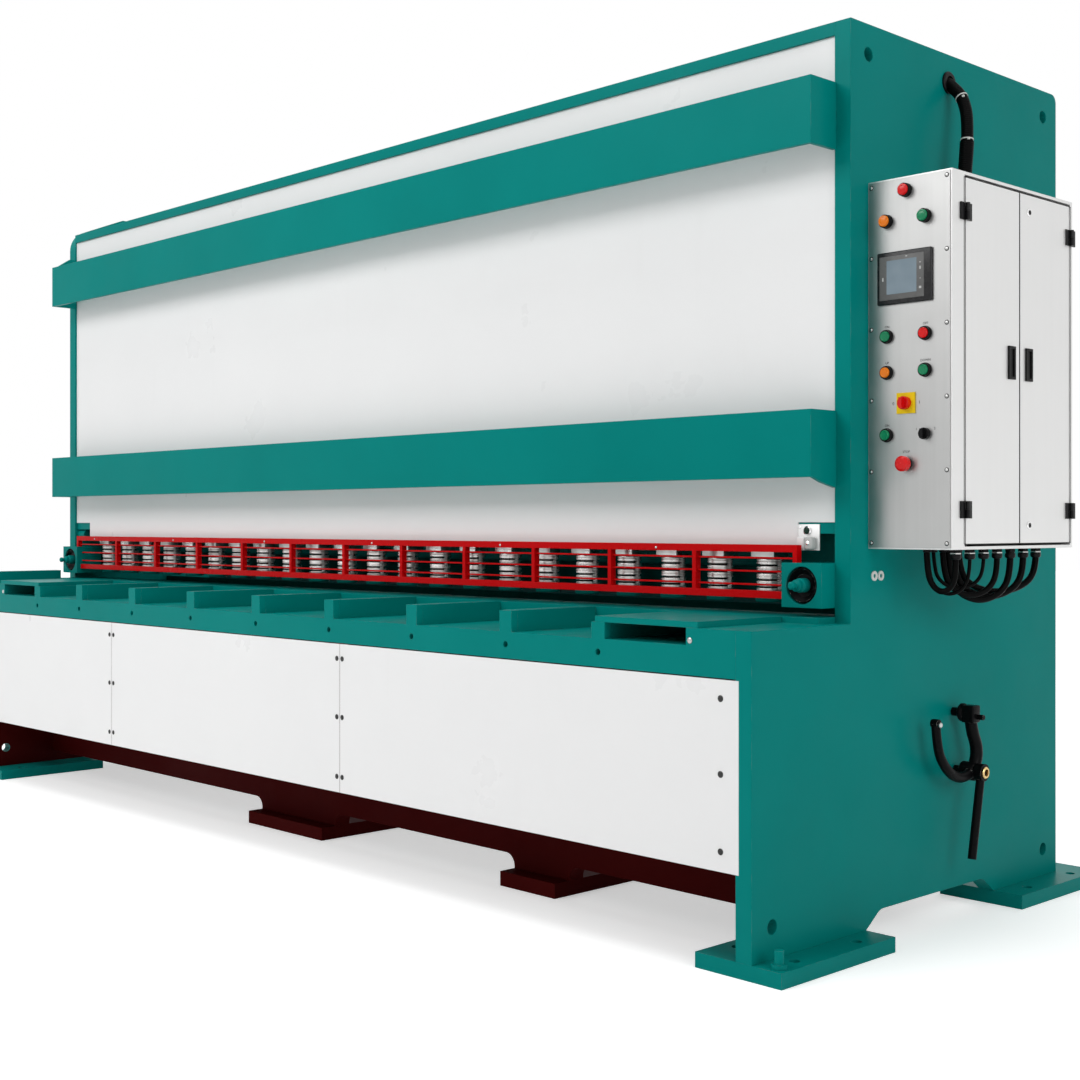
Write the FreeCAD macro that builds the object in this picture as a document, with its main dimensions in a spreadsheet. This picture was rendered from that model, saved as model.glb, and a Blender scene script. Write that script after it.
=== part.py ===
import FreeCAD, Part
import math
import os

import Sketcher

# Hydraulic guillotine shear, in millimetres.
# X runs along the blades, +Y goes from the operator to the rear, +Z is up.
# The origin is on the floor at the middle of the machine's footprint box.

os.makedirs("parts", exist_ok=True)
doc = FreeCAD.newDocument("hydraulic_shear")
sheet = doc.addObject("Spreadsheet::Sheet", "Sizes")

SIZES = {
    # side frames
    "frame_length": 4300,
    "frame_plate": 50,
    "frame_depth": 1490,
    "frame_height": 2430,
    "throat_setback": 410,
    "cheek_height": 850,
    "frame_hole_radius": 19,
    "frame_hole_inset": 80,
    "conduit_hole_radius": 25,
    "conduit_hole_setback": 878,
    "arch_rise": 45,
    "arch_run": 65,
    "rear_corner_radius": 25,
    "head_rise": 100,
    "head_radius": 100,
    "head_run": 240,
    # feet
    "foot_thickness": 40,
    "foot_outside": 90,
    "foot_inside": 130,
    "foot_length": 480,
    "rear_foot_overhang": 115,
    "anchor_hole_radius": 14,
    "anchor_inset": 45,
    "anchor_end_inset": 110,
    "levelling_radius": 12,
    "levelling_stand": 45,
    "levelling_head": 20,
    "levelling_inset": 30,
    # bed
    "bed_front": 300,
    "bed_web": 60,
    "bed_bottom": 88,
    "bed_head_height": 90,
    "bed_foot_near_width": 240,
    "bed_foot_far_width": 460,
    "bed_foot_height": 45,
    "bed_foot_depth": 400,
    "bed_foot_first": 1050,
    "bed_foot_second": 2330,
    "bed_foot_reach": 60,
    "bed_foot_fillet": 38,
    # table
    "table_rise": 16,
    "table_depth": 60,
    "floor_thickness": 16,
    "apron_thickness": 25,
    "apron_height": 136,
    "apron_hole_radius": 9,
    "apron_hole_drop": 96,
    "rib_width": 50,
    "rib_length": 340,
    "rib_first": 519,
    "rib_end_pitch": 365,
    "slot_end_inset": 210,
    "end_plate_inset": 171,
    "end_plate_lap": 14,
    "side_gauge_height": 50,
    "blade_line": 520,
    "blade_thickness": 25,
    "lower_blade_height": 70,
    # front covers
    "cover_sheet": 3,
    "cover_height": 475,
    "cover_drop": 3,
    "cover_inset": 40,
    "cover_gap": 2,
    "cover_joint_first": 1668,
    "cover_joint_second": 3150,
    "cover_post_width": 80,
    "cover_post_depth": 20,
    # upper front
    "panel_sheet": 4,
    "panel_recess": 8,
    "panel_bottom": 1040,
    "panel_notch_height": 75,
    "panel_notch_width": 125,
    "top_plate_thickness": 35,
    "top_plate_depth": 600,
    "rail_reach": 110,
    "rail_height": 176,
    "rail_wall": 12,
    "rail_lap": 4,
    "rail_flare_run": 60,
    "upper_rail_drop": 336,
    "upper_rail_flare": 45,
    "lower_rail_bottom": 1232,
    "lower_rail_flare": 26,
    # knife beam
    "blade_gap": 0.5,
    "blade_opening": 34,
    "upper_blade_height": 90,
    "knife_beam_thickness": 90,
    "beam_top_gap": 495,
    "beam_end_gap": 30,
    # finger guard
    "guard_setback": 370,
    "guard_depth": 20,
    "guard_bottom": 910,
    "guard_height": 145,
    "guard_rail": 20,
    "guard_post": 14,
    "guard_rod": 5,
    "guard_end_inset": 171,
    "guard_end_lap": 28,
    # hold-downs
    "hold_down_setback": 455,
    "hold_down_first": 299,
    "hold_down_block_width": 80,
    "hold_down_block_depth": 66,
    "barrel_radius": 34,
    "barrel_groove_radius": 30,
    "barrel_bottom": 918,
    "barrel_band": 28,
    "barrel_groove": 8,
    "shelf_bottom": 1085,
    "shelf_height": 40,
    "shelf_depth": 83,
    "plunger_radius": 18,
    "plunger_clearance": 0.5,
    "plunger_bore_depth": 80,
    "plunger_length": 60,
    "pad_radius": 39,
    "pad_thickness": 18,
    "pad_bottom": 896,
    # end housings
    "housing_width": 130,
    "housing_depth": 118,
    "housing_height": 118,
    "housing_bottom": 890,
    "housing_setback": 352,
    "housing_bore_radius": 50,
    "housing_bore_depth": 22,
    "dial_radius": 47,
    "dial_thickness": 12,
    "dial_shaft_radius": 17,
    "dial_shaft_length": 36,
    "dial_nub_radius": 9,
    "dial_nub_length": 22,
    "notch_boss_radius": 18,
    "notch_boss_length": 60,
    "notch_boss_setback": 440,
    "notch_boss_up": 1064,
    # guard sensor
    "sensor_plate_width": 70,
    "sensor_plate_height": 70,
    "sensor_lens_radius": 10,
    "sensor_lens_stand": 8,
    "sensor_block_width": 26,
    "sensor_block_depth": 24,
    "sensor_block_height": 36,
    # control cabinet
    "cabinet_depth": 250,
    "cabinet_setback": 490,
    "cabinet_length": 622,
    "cabinet_bottom": 1045,
    "cabinet_height": 965,
    "cabinet_wall": 4,
    "panel_thickness": 3,
    "panel_margin": 4,
    "door_thickness": 18,
    "door_gap": 6,
    "door_front_margin": 66,
    "door_rear_margin": 18,
    "door_end_margin": 14,
    "door_lip": 10,
    "hinge_radius": 6,
    "hinge_stand": 1,
    "hinge_height": 44,
    "hinge_leaf": 26,
    "hinge_leaf_thickness": 4,
    "hinge_leaf_gap": 2,
    "hinge_split": 0.5,
    "hinge_inset": 88,
    "handle_width": 34,
    "handle_height": 88,
    "handle_rim": 7,
    "handle_stand": 5,
    "handle_setback": 45,
    "handle_up": 493,
    "lock_radius": 9,
    "lock_stand": 4,
    "lock_inset": 48,
    "backplate_thickness": 4,
    "backplate_margin": 40,
    "backplate_standoff": 20,
    "backplate_stud": 8,
    # operator controls, measured from the panel's left lower corner
    "screen_width": 164,
    "screen_height": 137,
    "screen_left": 33,
    "screen_up": 636,
    "screen_stand": 9,
    "collar_radius": 18,
    "collar_stand": 5,
    "cap_radius": 14,
    "cap_clearance": 0.5,
    "cap_stand": 16,
    "cap_rest": 5,
    "column_left": 60,
    "column_middle": 118,
    "column_right": 175,
    "row_lamp": 928,
    "row_upper": 854,
    "row_first": 554,
    "row_second": 460,
    "row_switch": 378,
    "row_last": 297,
    "row_stop": 221,
    "switch_plate_size": 54,
    "switch_plate_thickness": 4,
    "switch_radius": 17,
    "switch_stand": 26,
    "selector_radius": 15,
    "selector_stand": 22,
    "grip_width": 9,
    "turn_gap": 0.3,
    "stop_radius": 20,
    "stop_stand": 28,
    # conduit and cables
    "conduit_radius": 17,
    "conduit_flange": 8,
    "conduit_flange_radius": 31,
    "conduit_foot_left": 80,
    "conduit_foot_setback": 831,
    "gland_radius": 15,
    "gland_height": 28,
    "gland_left": 185,
    "gland_first": 124,
    "gland_pitch": 69,
    "entry_left": 80,
    "entry_first": 105,
    "entry_pitch": 26,
    "entry_radius": 11,
    "entry_height": 10,
    # blade gap lever
    "lever_stand": 46,
    "lever_bar_radius": 12,
    "lever_block_setback": 905,
    "lever_block_up": 592,
    "lever_block": 66,
    "lever_block_height": 40,
    "lever_boss_radius": 20,
    "lever_knob_radius": 22,
    "lever_knob_length": 45,
    "lever_knob_width": 10,
    "lever_pivot_setback": 914,
    "lever_pivot_up": 418,
    "lever_joint_radius": 30,
    "lever_bow_radius": 160,
    "lever_bow_angle": 52,
    "lever_hook_setback": 725,
    "lever_hook_radius": 110,
    "lever_hook_rise": 45,
    "lever_pin_radius": 10,
    "lever_pin_end": 6,
    "lever_clearance": 0.1,
    "lever_eye_thickness": 24,
    "lever_tube_radius": 12,
    "lever_tube_length": 240,
    "lever_tilt": 11.5,
    # rear of the machine
    "rear_beam_inset": 110,
    "rear_beam_thickness": 40,
    "rear_beam_height": 220,
    "rear_beam_low": 420,
    "rear_beam_drop": 380,
    "ram_radius": 90,
    "ram_length": 600,
    "ram_setback": 740,
    "ram_inset": 280,
    "ram_rod_radius": 45,
    "ram_lug_drop": 300,
    "ram_lug_height": 50,
    "tank_length": 1200,
    "tank_depth": 380,
    "tank_height": 500,
    "tank_lap": 100,
    "motor_radius": 100,
    "motor_length": 330,
    "motor_foot_radius": 60,
    "motor_rise": 125,
    "gauge_slide_width": 90,
    "gauge_slide_length": 760,
    "gauge_slide_inset": 700,
    "gauge_setback": 900,
    "gauge_post_depth": 60,
    "gauge_bar_thickness": 30,
    "gauge_bar_height": 90,
    "gauge_bar_end_inset": 350,
}


class Size:
    """A length that knows its value and the sheet formula behind it."""

    def __init__(self, value, text):
        self.value = float(value)
        self.text = text

    def __add__(self, other):
        other = as_size(other)
        return Size(self.value + other.value, f"({self.text} + {other.text})")

    def __radd__(self, other):
        return as_size(other) + self

    def __sub__(self, other):
        other = as_size(other)
        return Size(self.value - other.value, f"({self.text} - {other.text})")

    def __rsub__(self, other):
        return as_size(other) - self

    def __mul__(self, other):
        other = as_size(other)
        return Size(self.value * other.value, f"({self.text} * {other.text})")

    def __rmul__(self, other):
        return as_size(other) * self

    def __truediv__(self, other):
        other = as_size(other)
        return Size(self.value / other.value, f"({self.text} / {other.text})")

    def __neg__(self):
        return 0 - self


def as_size(item):
    return item if isinstance(item, Size) else Size(item, str(item))


class Sheet:
    """Writes the driving sizes into the sheet and hands them out by name."""

    def __init__(self, table):
        for row, (name, value) in enumerate(table.items(), start=1):
            sheet.set(f"A{row}", name)
            sheet.set(f"B{row}", str(value))
            sheet.setAlias(f"B{row}", name)
            setattr(self, name, Size(value, f"Sizes.{name}"))


s = Sheet(SIZES)
doc.recompute()
kept = []


def bind(item, prop, size):
    item.setExpression(prop, as_size(size).text)


def keep(label, item):
    item.Label = label
    kept.append(item)
    return item


def place(item, x, y, z, rotation=None):
    x, y, z = as_size(x), as_size(y), as_size(z)
    turn = rotation or FreeCAD.Rotation()
    item.Placement = FreeCAD.Placement(FreeCAD.Vector(x.value, y.value, z.value), turn)
    for axis, size in (("x", x), ("y", y), ("z", z)):
        bind(item, f"Placement.Base.{axis}", size)
    return item


def box(x, y, z, length, width, height):
    item = doc.addObject("Part::Box", "Block")
    bind(item, "Length", length)
    bind(item, "Width", width)
    bind(item, "Height", height)
    return place(item, x, y, z)


TURNS = {
    "x": FreeCAD.Rotation(FreeCAD.Vector(0, 1, 0), 90),
    "y": FreeCAD.Rotation(FreeCAD.Vector(1, 0, 0), -90),
    "-y": FreeCAD.Rotation(FreeCAD.Vector(1, 0, 0), 90),
    "z": FreeCAD.Rotation(),
}


def rod(x, y, z, radius, length, along="z"):
    item = doc.addObject("Part::Cylinder", "Rod")
    bind(item, "Radius", radius)
    bind(item, "Height", length)
    return place(item, x, y, z, TURNS[along])


def fused(*items):
    item = doc.addObject("Part::MultiFuse", "Welded")
    item.Shapes = list(items)
    item.Refine = True
    return item


def without(base, *tools):
    item = doc.addObject("Part::Cut", "Machined")
    item.Base = base
    item.Tool = tools[0] if len(tools) == 1 else gathered(*tools)
    item.Refine = True
    return item


def gathered(*items):
    item = doc.addObject("Part::Compound", "Group")
    item.Links = list(items)
    return item


def origin_plane(body, role):
    return [part for part in body.Origin.OriginFeatures if part.Role == role][0]


def new_sketch(body, role, offset):
    sketch = body.newObject("Sketcher::SketchObject", "Profile")
    sketch.AttachmentSupport = [(origin_plane(body, role), "")]
    sketch.MapMode = "FlatFace"
    bind(sketch, "AttachmentOffset.Base.z", offset)
    return sketch


def pin_point(sketch, geometry, point, u, v):
    """Fixes a sketch point at two named distances from the axes."""
    for kind, size in (("DistanceX", u), ("DistanceY", v)):
        size = as_size(size)
        index = sketch.addConstraint(
            Sketcher.Constraint(kind, -1, 1, geometry, point, size.value)
        )
        sketch.setExpression(f"Constraints[{index}]", size.text)


def draw_outline(sketch, points):
    places = [(as_size(u), as_size(v)) for u, v in points]
    ends = [FreeCAD.Vector(u.value, v.value, 0) for u, v in places]
    count = len(ends)
    first = sketch.GeometryCount
    sketch.addGeometry([Part.LineSegment(ends[i], ends[(i + 1) % count]) for i in range(count)], False)
    sketch.addConstraint([
        Sketcher.Constraint("Coincident", first + i, 2, first + (i + 1) % count, 1)
        for i in range(count)
    ])
    for i, (u, v) in enumerate(places):
        pin_point(sketch, first + i, 1, u, v)


def draw_circle(sketch, u, v, radius):
    u, v, radius = as_size(u), as_size(v), as_size(radius)
    centre = FreeCAD.Vector(u.value, v.value, 0)
    index = sketch.addGeometry(Part.Circle(centre, FreeCAD.Vector(0, 0, 1), radius.value), False)
    pin_point(sketch, index, 3, u, v)
    rule = sketch.addConstraint(Sketcher.Constraint("Radius", index, radius.value))
    sketch.setExpression(f"Constraints[{rule}]", radius.text)


# Each plane: its role, and which way a pad leaves it.
PLANES = {"x": ("YZ_Plane", 1), "y": ("XZ_Plane", -1), "z": ("XY_Plane", 1)}


def profile(across, start, end, points, holes=(), rounds=()):
    """A plate cut to an outline, standing across one axis from start to end.

    holes are (u, v, radius) and rounds are (u, v, radius) at outline corners.
    """
    role, way = PLANES[across]
    body = doc.addObject("PartDesign::Body", "Plate")
    sketch = new_sketch(body, role, start if way > 0 else -end)
    draw_outline(sketch, points)
    for hole in holes:
        draw_circle(sketch, *hole)
    pad = body.newObject("PartDesign::Pad", "Thickness")
    pad.Profile = sketch
    bind(pad, "Length", end - start)
    last = pad
    for u, v, radius in rounds:
        doc.recompute()
        last = round_corner(body, last, across, as_size(u).value, as_size(v).value, radius)
    return body


def round_corner(body, solid, across, u, v, radius):
    """Fillets the straight edge that runs through one outline corner."""
    named = {"x": ("y", "z"), "y": ("x", "z"), "z": ("x", "y")}[across]
    touch = 0.01
    for number, edge in enumerate(solid.Shape.Edges, start=1):
        spots = [vertex.Point for vertex in edge.Vertexes]
        if len(spots) == 2 and all(
            abs(getattr(spot, named[0]) - u) < touch and abs(getattr(spot, named[1]) - v) < touch
            for spot in spots
        ):
            fillet = body.newObject("PartDesign::Fillet", "Round")
            fillet.Base = (solid, [f"Edge{number}"])
            bind(fillet, "Radius", radius)
            return fillet
    raise ValueError("no edge at the corner to be rounded")


def turned(points, x, y, z, along="z"):
    """A turned piece: an outline of (radius, height) swept round its own axis."""
    body = doc.addObject("PartDesign::Body", "Turned")
    sketch = new_sketch(body, "XZ_Plane", as_size(0))
    draw_outline(sketch, points)
    spin = body.newObject("PartDesign::Revolution", "Spin")
    spin.Profile = sketch
    spin.ReferenceAxis = (sketch, ["V_Axis"])
    spin.Angle = 360
    return place(body, x, y, z, TURNS[along])


# Main places
cabinet_reach = s.cabinet_depth + s.hinge_stand + s.hinge_radius * 2
right = (s.frame_length + s.foot_outside - cabinet_reach) / 2
left = right - s.frame_length
in_right = right - s.frame_plate
in_left = left + s.frame_plate
inner_length = in_right - in_left
middle = (right + left) / 2
front = (s.cover_sheet - s.frame_depth - s.rear_foot_overhang) / 2
rear = front + s.frame_depth
throat = front + s.throat_setback
panel_front = throat + s.panel_recess
panel_back = panel_front + s.panel_sheet
foot_top = s.foot_thickness
rear_feet = rear + s.rear_foot_overhang - s.foot_length
table_top = s.cheek_height + s.table_rise
shelf_level = table_top - s.table_depth
bolster_base = shelf_level - s.floor_thickness
apron_base = table_top - s.apron_height
shear_line = front + s.blade_line
bolster_back = shear_line - s.blade_thickness
rib_back = front + s.rib_length
blade_tip = table_top + s.blade_opening
under_top = s.frame_height - s.top_plate_thickness
beam_top = under_top - s.beam_top_gap
housing_top = s.housing_bottom + s.housing_height


def side_frame(label, start, raised_head):
    """An L-shaped cheek plate with an arched underside and lifting holes."""
    arch_top = foot_top + s.arch_rise
    arch_front = front + s.foot_length
    top = s.frame_height + s.head_rise if raised_head else s.frame_height
    outline = [
        (front, foot_top),
        (arch_front, foot_top),
        (arch_front + s.arch_run, arch_top),
        (rear_feet - s.arch_run, arch_top),
        (rear_feet, foot_top),
        (rear, foot_top),
        (rear, top),
    ]
    rounds = [
        (arch_front + s.arch_run, arch_top, s.arch_rise),
        (rear_feet - s.arch_run, arch_top, s.arch_rise),
        (rear, top, s.rear_corner_radius),
    ]
    if raised_head:
        outline.append((throat + s.head_run, top))
        rounds.append((throat, s.frame_height, s.head_radius))
    outline += [(throat, s.frame_height), (throat, s.cheek_height), (front, s.cheek_height)]
    inset = s.frame_hole_inset
    holes = [
        (throat + inset, s.frame_height - inset, s.frame_hole_radius),
        (rear - inset, s.frame_height - inset, s.frame_hole_radius),
        (front + inset, foot_top + inset, s.frame_hole_radius),
        (rear - inset, foot_top + inset, s.frame_hole_radius),
    ]
    if not raised_head:
        holes.append((front + s.conduit_hole_setback, s.frame_height - inset, s.conduit_hole_radius))
    keep(label, profile("x", start, start + s.frame_plate, outline, holes, rounds))


def foot_plates():
    """Four plates under the cheeks, each with three anchor holes."""
    plates = []
    sides = (
        (in_right - s.foot_inside, right + s.foot_outside, right + s.foot_outside - s.anchor_inset,
         in_right - s.foot_inside + s.anchor_inset),
        (left - s.foot_outside, in_left + s.foot_inside, left - s.foot_outside + s.anchor_inset,
         in_left + s.foot_inside - s.anchor_inset),
    )
    for low, high, outboard, inboard in sides:
        for start, inboard_y in ((front, front + s.anchor_end_inset),
                                 (rear_feet, rear_feet + s.foot_length - s.anchor_end_inset)):
            end = start + s.foot_length
            outline = [(low, start), (high, start), (high, end), (low, end)]
            holes = [
                (outboard, start + s.anchor_end_inset, s.anchor_hole_radius),
                (outboard, end - s.anchor_end_inset, s.anchor_hole_radius),
                (inboard, inboard_y, s.anchor_hole_radius),
            ]
            plates.append(profile("z", as_size(0), foot_top, outline, holes))
    keep("foot_plates", gathered(*plates))


def levelling_screws():
    """Round-headed screws that stand in the outer corner of every foot."""
    inset = s.levelling_inset
    flange = s.levelling_stand / 4
    screws = []
    for x in (right + s.foot_outside - inset, left - s.foot_outside + inset):
        for y in (front + inset, rear + s.rear_foot_overhang - inset):
            screws.append(turned([
                (0, 0),
                (s.levelling_head, 0),
                (s.levelling_head, flange),
                (s.levelling_radius, flange),
                (s.levelling_radius, s.levelling_stand),
                (0, s.levelling_stand),
            ], x, y, foot_top))
    keep("levelling_screws", gathered(*screws))


def bed():
    """The beam between the cheeks, its web drawn down to two floor feet."""
    web_front = front + s.bed_front
    web_back = web_front + s.bed_web
    head_low = bolster_base - s.bed_head_height
    feet = [
        (right - s.bed_foot_first, s.bed_foot_near_width),
        (right - s.bed_foot_second, s.bed_foot_far_width),
    ]
    outline = [
        (in_left, s.bed_bottom),
        (in_left, bolster_base),
        (in_right, bolster_base),
        (in_right, s.bed_bottom),
    ]
    rounds = []
    pads = []
    for centre, width in feet:
        low, high = centre - width / 2, centre + width / 2
        outline += [
            (high, s.bed_bottom),
            (high, s.bed_foot_height),
            (low, s.bed_foot_height),
            (low, s.bed_bottom),
        ]
        rounds += [(high, s.bed_bottom, s.bed_foot_fillet), (low, s.bed_bottom, s.bed_foot_fillet)]
        pads.append(box(low, web_front - s.bed_foot_reach, 0, width, s.bed_foot_depth, s.bed_foot_height))
    web = profile("y", web_front, web_back, outline, rounds=rounds)
    head = box(in_left, web_back, head_low, inner_length, bolster_back - web_back, s.bed_head_height)
    keep("bed_beam", fused(web, head))
    keep("bed_feet", gathered(*pads))


def rib_places():
    """Rib centres from the right: a short bay at each end, equal bays between."""
    places = [right - s.rib_first, right - s.rib_first - s.rib_end_pitch]
    bays = 6
    pitch = (s.frame_length - 2 * (s.rib_first + s.rib_end_pitch)) / bays
    for _ in range(bays):
        places.append(places[-1] - pitch)
    places.append(places[-1] - s.rib_end_pitch)
    return places


def table():
    """Apron with a tooth at each rib, ribs, floor, bolster and the end plates."""
    half = s.rib_width / 2
    places = rib_places()
    tops = [s.cheek_height] + [table_top] * (len(places) - 2) + [s.cheek_height]
    outline = [
        (in_left, apron_base),
        (in_right, apron_base),
        (in_right, s.cheek_height),
        (right - s.slot_end_inset, s.cheek_height),
        (right - s.slot_end_inset, shelf_level),
    ]
    for x, top in zip(places, tops):
        outline += [(x + half, shelf_level), (x + half, top), (x - half, top), (x - half, shelf_level)]
    outline += [
        (left + s.slot_end_inset, shelf_level),
        (left + s.slot_end_inset, s.cheek_height),
        (in_left, s.cheek_height),
    ]
    hole_up = table_top - s.apron_hole_drop
    holes = [(x, hole_up, s.apron_hole_radius) for x in places]
    apron_back = front + s.apron_thickness
    keep("table_apron", profile("y", front, apron_back, outline, holes))
    ribs = [
        box(x - half, apron_back, shelf_level, s.rib_width, rib_back - apron_back, top - shelf_level)
        for x, top in zip(places, tops)
    ]
    end_width = s.slot_end_inset - s.frame_plate
    ribs += [
        box(x, apron_back, shelf_level, end_width, rib_back - apron_back, s.cheek_height - shelf_level)
        for x in (right - s.slot_end_inset, in_left)
    ]
    keep("table_ribs", gathered(*ribs))
    keep("table_floor", box(in_left, apron_back, bolster_base, inner_length,
                            rib_back - apron_back, s.floor_thickness))
    keep("table_bolster", box(in_left, rib_back, bolster_base, inner_length,
                              bolster_back - rib_back, table_top - bolster_base))
    lap = s.rib_first - s.end_plate_lap + s.rib_width / 2
    keep("end_plates", gathered(*[
        box(x, front, s.cheek_height, lap - s.end_plate_inset, s.rib_length, s.table_rise)
        for x in (right - lap, left + s.end_plate_inset)
    ]))
    keep("side_gauge", box(left, front, s.cheek_height, s.frame_plate, s.rib_length, s.side_gauge_height))


def covers():
    """Three sheets bolted over the front, and the posts behind their joints."""
    top = apron_base - s.cover_drop
    joints = [right - s.cover_joint_first, right - s.cover_joint_second]
    half_gap = s.cover_gap / 2
    spans = [
        (joints[0] + half_gap, right - s.cover_inset),
        (joints[1] + half_gap, joints[0] - half_gap),
        (left, joints[1] - half_gap),
    ]
    keep("front_covers", gathered(*[
        box(low, front - s.cover_sheet, top - s.cover_height, high - low, s.cover_sheet, s.cover_height)
        for low, high in spans
    ]))
    keep("cover_posts", gathered(*[
        box(x - s.cover_post_width / 2, front, top - s.cover_height, s.cover_post_width,
            s.cover_post_depth, s.cover_height + s.cover_drop)
        for x in joints
    ]))


def upper_front():
    """The front plate with its lower corners cut out, and the top plate."""
    notch = s.panel_notch_width
    notch_top = s.panel_bottom + s.panel_notch_height
    keep("front_plate", profile("y", panel_front, panel_back, [
        (in_left + notch, s.panel_bottom),
        (in_right - notch, s.panel_bottom),
        (in_right - notch, notch_top),
        (in_right, notch_top),
        (in_right, under_top),
        (in_left, under_top),
        (in_left, notch_top),
        (in_left + notch, notch_top),
    ]))
    keep("top_plate", box(in_left, throat, under_top, inner_length,
                          s.top_plate_depth, s.top_plate_thickness))


def rail(label, bottom, flare_up, flare_down):
    """A rail bent from plate, open above and below, welded to the cheeks.

    flare_up is how far its left end rises and flare_down how far its right
    end drops towards the cheek.
    """
    top = bottom + s.rail_height
    face = throat - s.rail_reach
    wall = s.rail_wall
    low = in_left - s.rail_lap
    high = in_right + s.rail_lap
    plate = box(low, face, bottom, high - low, wall, s.rail_height)
    run = s.rail_flare_run
    left_end = profile("x", low, low + wall, [
        (face + wall, bottom),
        (throat, bottom),
        (throat, top + flare_up),
        (throat - run / 2, top + flare_up),
        (face + wall, top),
    ] if flare_up.value else [
        (face + wall, bottom), (throat, bottom), (throat, top), (face + wall, top),
    ])
    right_end = profile("x", high - wall, high, [
        (face + wall, bottom),
        (throat - run, bottom - flare_down / 2),
        (throat, bottom - flare_down),
        (throat, top),
        (face + wall, top),
    ] if flare_down.value else [
        (face + wall, bottom), (throat, bottom), (throat, top), (face + wall, top),
    ])
    keep(label, fused(plate, left_end, right_end))


def knives():
    """The lower blade on the bolster, the upper one and its beam above."""
    lower = box(in_left, bolster_back, table_top - s.lower_blade_height,
                inner_length, s.blade_thickness, s.lower_blade_height)
    blade_front = shear_line + s.blade_gap
    length = inner_length - 2 * s.beam_end_gap
    start = in_left + s.beam_end_gap
    upper = box(start, blade_front, blade_tip, length, s.blade_thickness, s.upper_blade_height)
    keep("shear_blades", gathered(lower, upper))
    keep("knife_beam", box(start, blade_front + s.blade_thickness, blade_tip, length,
                           s.knife_beam_thickness, beam_top - blade_tip))


# Guard and hold-down places
GUARD_BAYS = 12
HOLD_DOWNS = 22
guard_bay = (s.frame_length - 2 * s.guard_end_inset) / GUARD_BAYS
hold_down_pitch = (s.frame_length - 2 * s.hold_down_first) / (HOLD_DOWNS - 1)


def hold_downs():
    """A row of banded barrels under square blocks, their pads and their shelf."""
    y = front + s.hold_down_setback
    bore = s.plunger_radius + s.plunger_clearance
    barrels = []
    pads = []
    for number in range(HOLD_DOWNS):
        x = right - s.hold_down_first - hold_down_pitch * number
        outline = [(0, s.plunger_bore_depth), (bore, s.plunger_bore_depth), (bore, 0), (s.barrel_radius, 0)]
        up = s.barrel_band
        for _ in range(2):
            outline += [
                (s.barrel_radius, up),
                (s.barrel_groove_radius, up + s.barrel_groove / 2),
                (s.barrel_radius, up + s.barrel_groove),
            ]
            up = up + s.barrel_groove + s.barrel_band
        outline += [(s.barrel_radius, up), (0, up)]
        block_low = s.barrel_bottom + up
        block = box(x - s.hold_down_block_width / 2, panel_back, block_low, s.hold_down_block_width,
                    s.hold_down_block_depth, s.shelf_bottom - block_low)
        barrels.append(fused(turned(outline, x, y, s.barrel_bottom), block))
        pads.append(turned([
            (0, 0),
            (s.pad_radius, 0),
            (s.pad_radius, s.pad_thickness),
            (s.plunger_radius, s.pad_thickness),
            (s.plunger_radius, s.pad_thickness + s.plunger_length),
            (0, s.pad_thickness + s.plunger_length),
        ], x, y, s.pad_bottom))
    keep("hold_down_barrels", gathered(*barrels))
    keep("hold_down_pads", gathered(*pads))
    keep("hold_down_shelf", box(in_left, panel_back, s.shelf_bottom, inner_length,
                                s.shelf_depth, s.shelf_height))


def finger_guard():
    """A welded lattice between the end housings, its top rail over them."""
    face = front + s.guard_setback
    top = s.guard_bottom + s.guard_height
    inner = (in_left + s.housing_width, in_right - s.housing_width)
    outer_inset = s.guard_end_inset - s.guard_end_lap
    outer = (left + outer_inset, right - outer_inset)
    bars = [
        box(low, face, z, high - low, s.guard_depth, s.guard_rail)
        for (low, high), z in ((inner, s.guard_bottom), (outer, top - s.guard_rail))
    ]
    for number in range(1, GUARD_BAYS):
        centre = right - s.guard_end_inset - guard_bay * number
        bars.append(box(centre - s.guard_post / 2, face, s.guard_bottom,
                        s.guard_post, s.guard_depth, s.guard_height))
    for number, (low, high) in enumerate((inner, inner, outer), start=1):
        z = s.guard_bottom + s.guard_height * number / 4 - s.guard_rod / 2
        bars.append(box(low, face + (s.guard_depth - s.guard_rod) / 2, z,
                        high - low, s.guard_rod, s.guard_rod))
    for x in (outer[0], outer[1] - s.guard_post):
        bars.append(box(x, face, housing_top, s.guard_post, s.guard_depth, top - housing_top))
    keep("finger_guard", fused(*bars))


def end_housings():
    """Boxes at both ends of the guard, each with a dial in its front bore.

    A round boss stands on the left cheek over the left box.
    """
    face = front + s.housing_setback
    blocks = []
    dials = []
    for low in (in_right - s.housing_width, in_left):
        x = low + s.housing_width / 2
        z = s.housing_bottom + s.housing_height / 2
        block = box(low, face, s.housing_bottom, s.housing_width, s.housing_depth, s.housing_height)
        bore = rod(x, face, z, s.housing_bore_radius, s.housing_bore_depth, "y")
        blocks.append(without(block, bore))
        shaft_end = s.dial_thickness + s.dial_shaft_length
        nub_end = shaft_end + s.dial_nub_length
        dials.append(turned([
            (0, 0),
            (s.dial_radius, 0),
            (s.dial_radius, s.dial_thickness),
            (s.dial_shaft_radius, s.dial_thickness),
            (s.dial_shaft_radius, shaft_end),
            (s.dial_nub_radius, shaft_end),
            (s.dial_nub_radius, nub_end),
            (0, nub_end),
        ], x, face + s.housing_bore_depth, z, "-y"))
    blocks.append(rod(in_left, front + s.notch_boss_setback, s.notch_boss_up,
                      s.notch_boss_radius, s.notch_boss_length, "x"))
    keep("end_housings", gathered(*blocks))
    keep("gap_dials", gathered(*dials))


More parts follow.
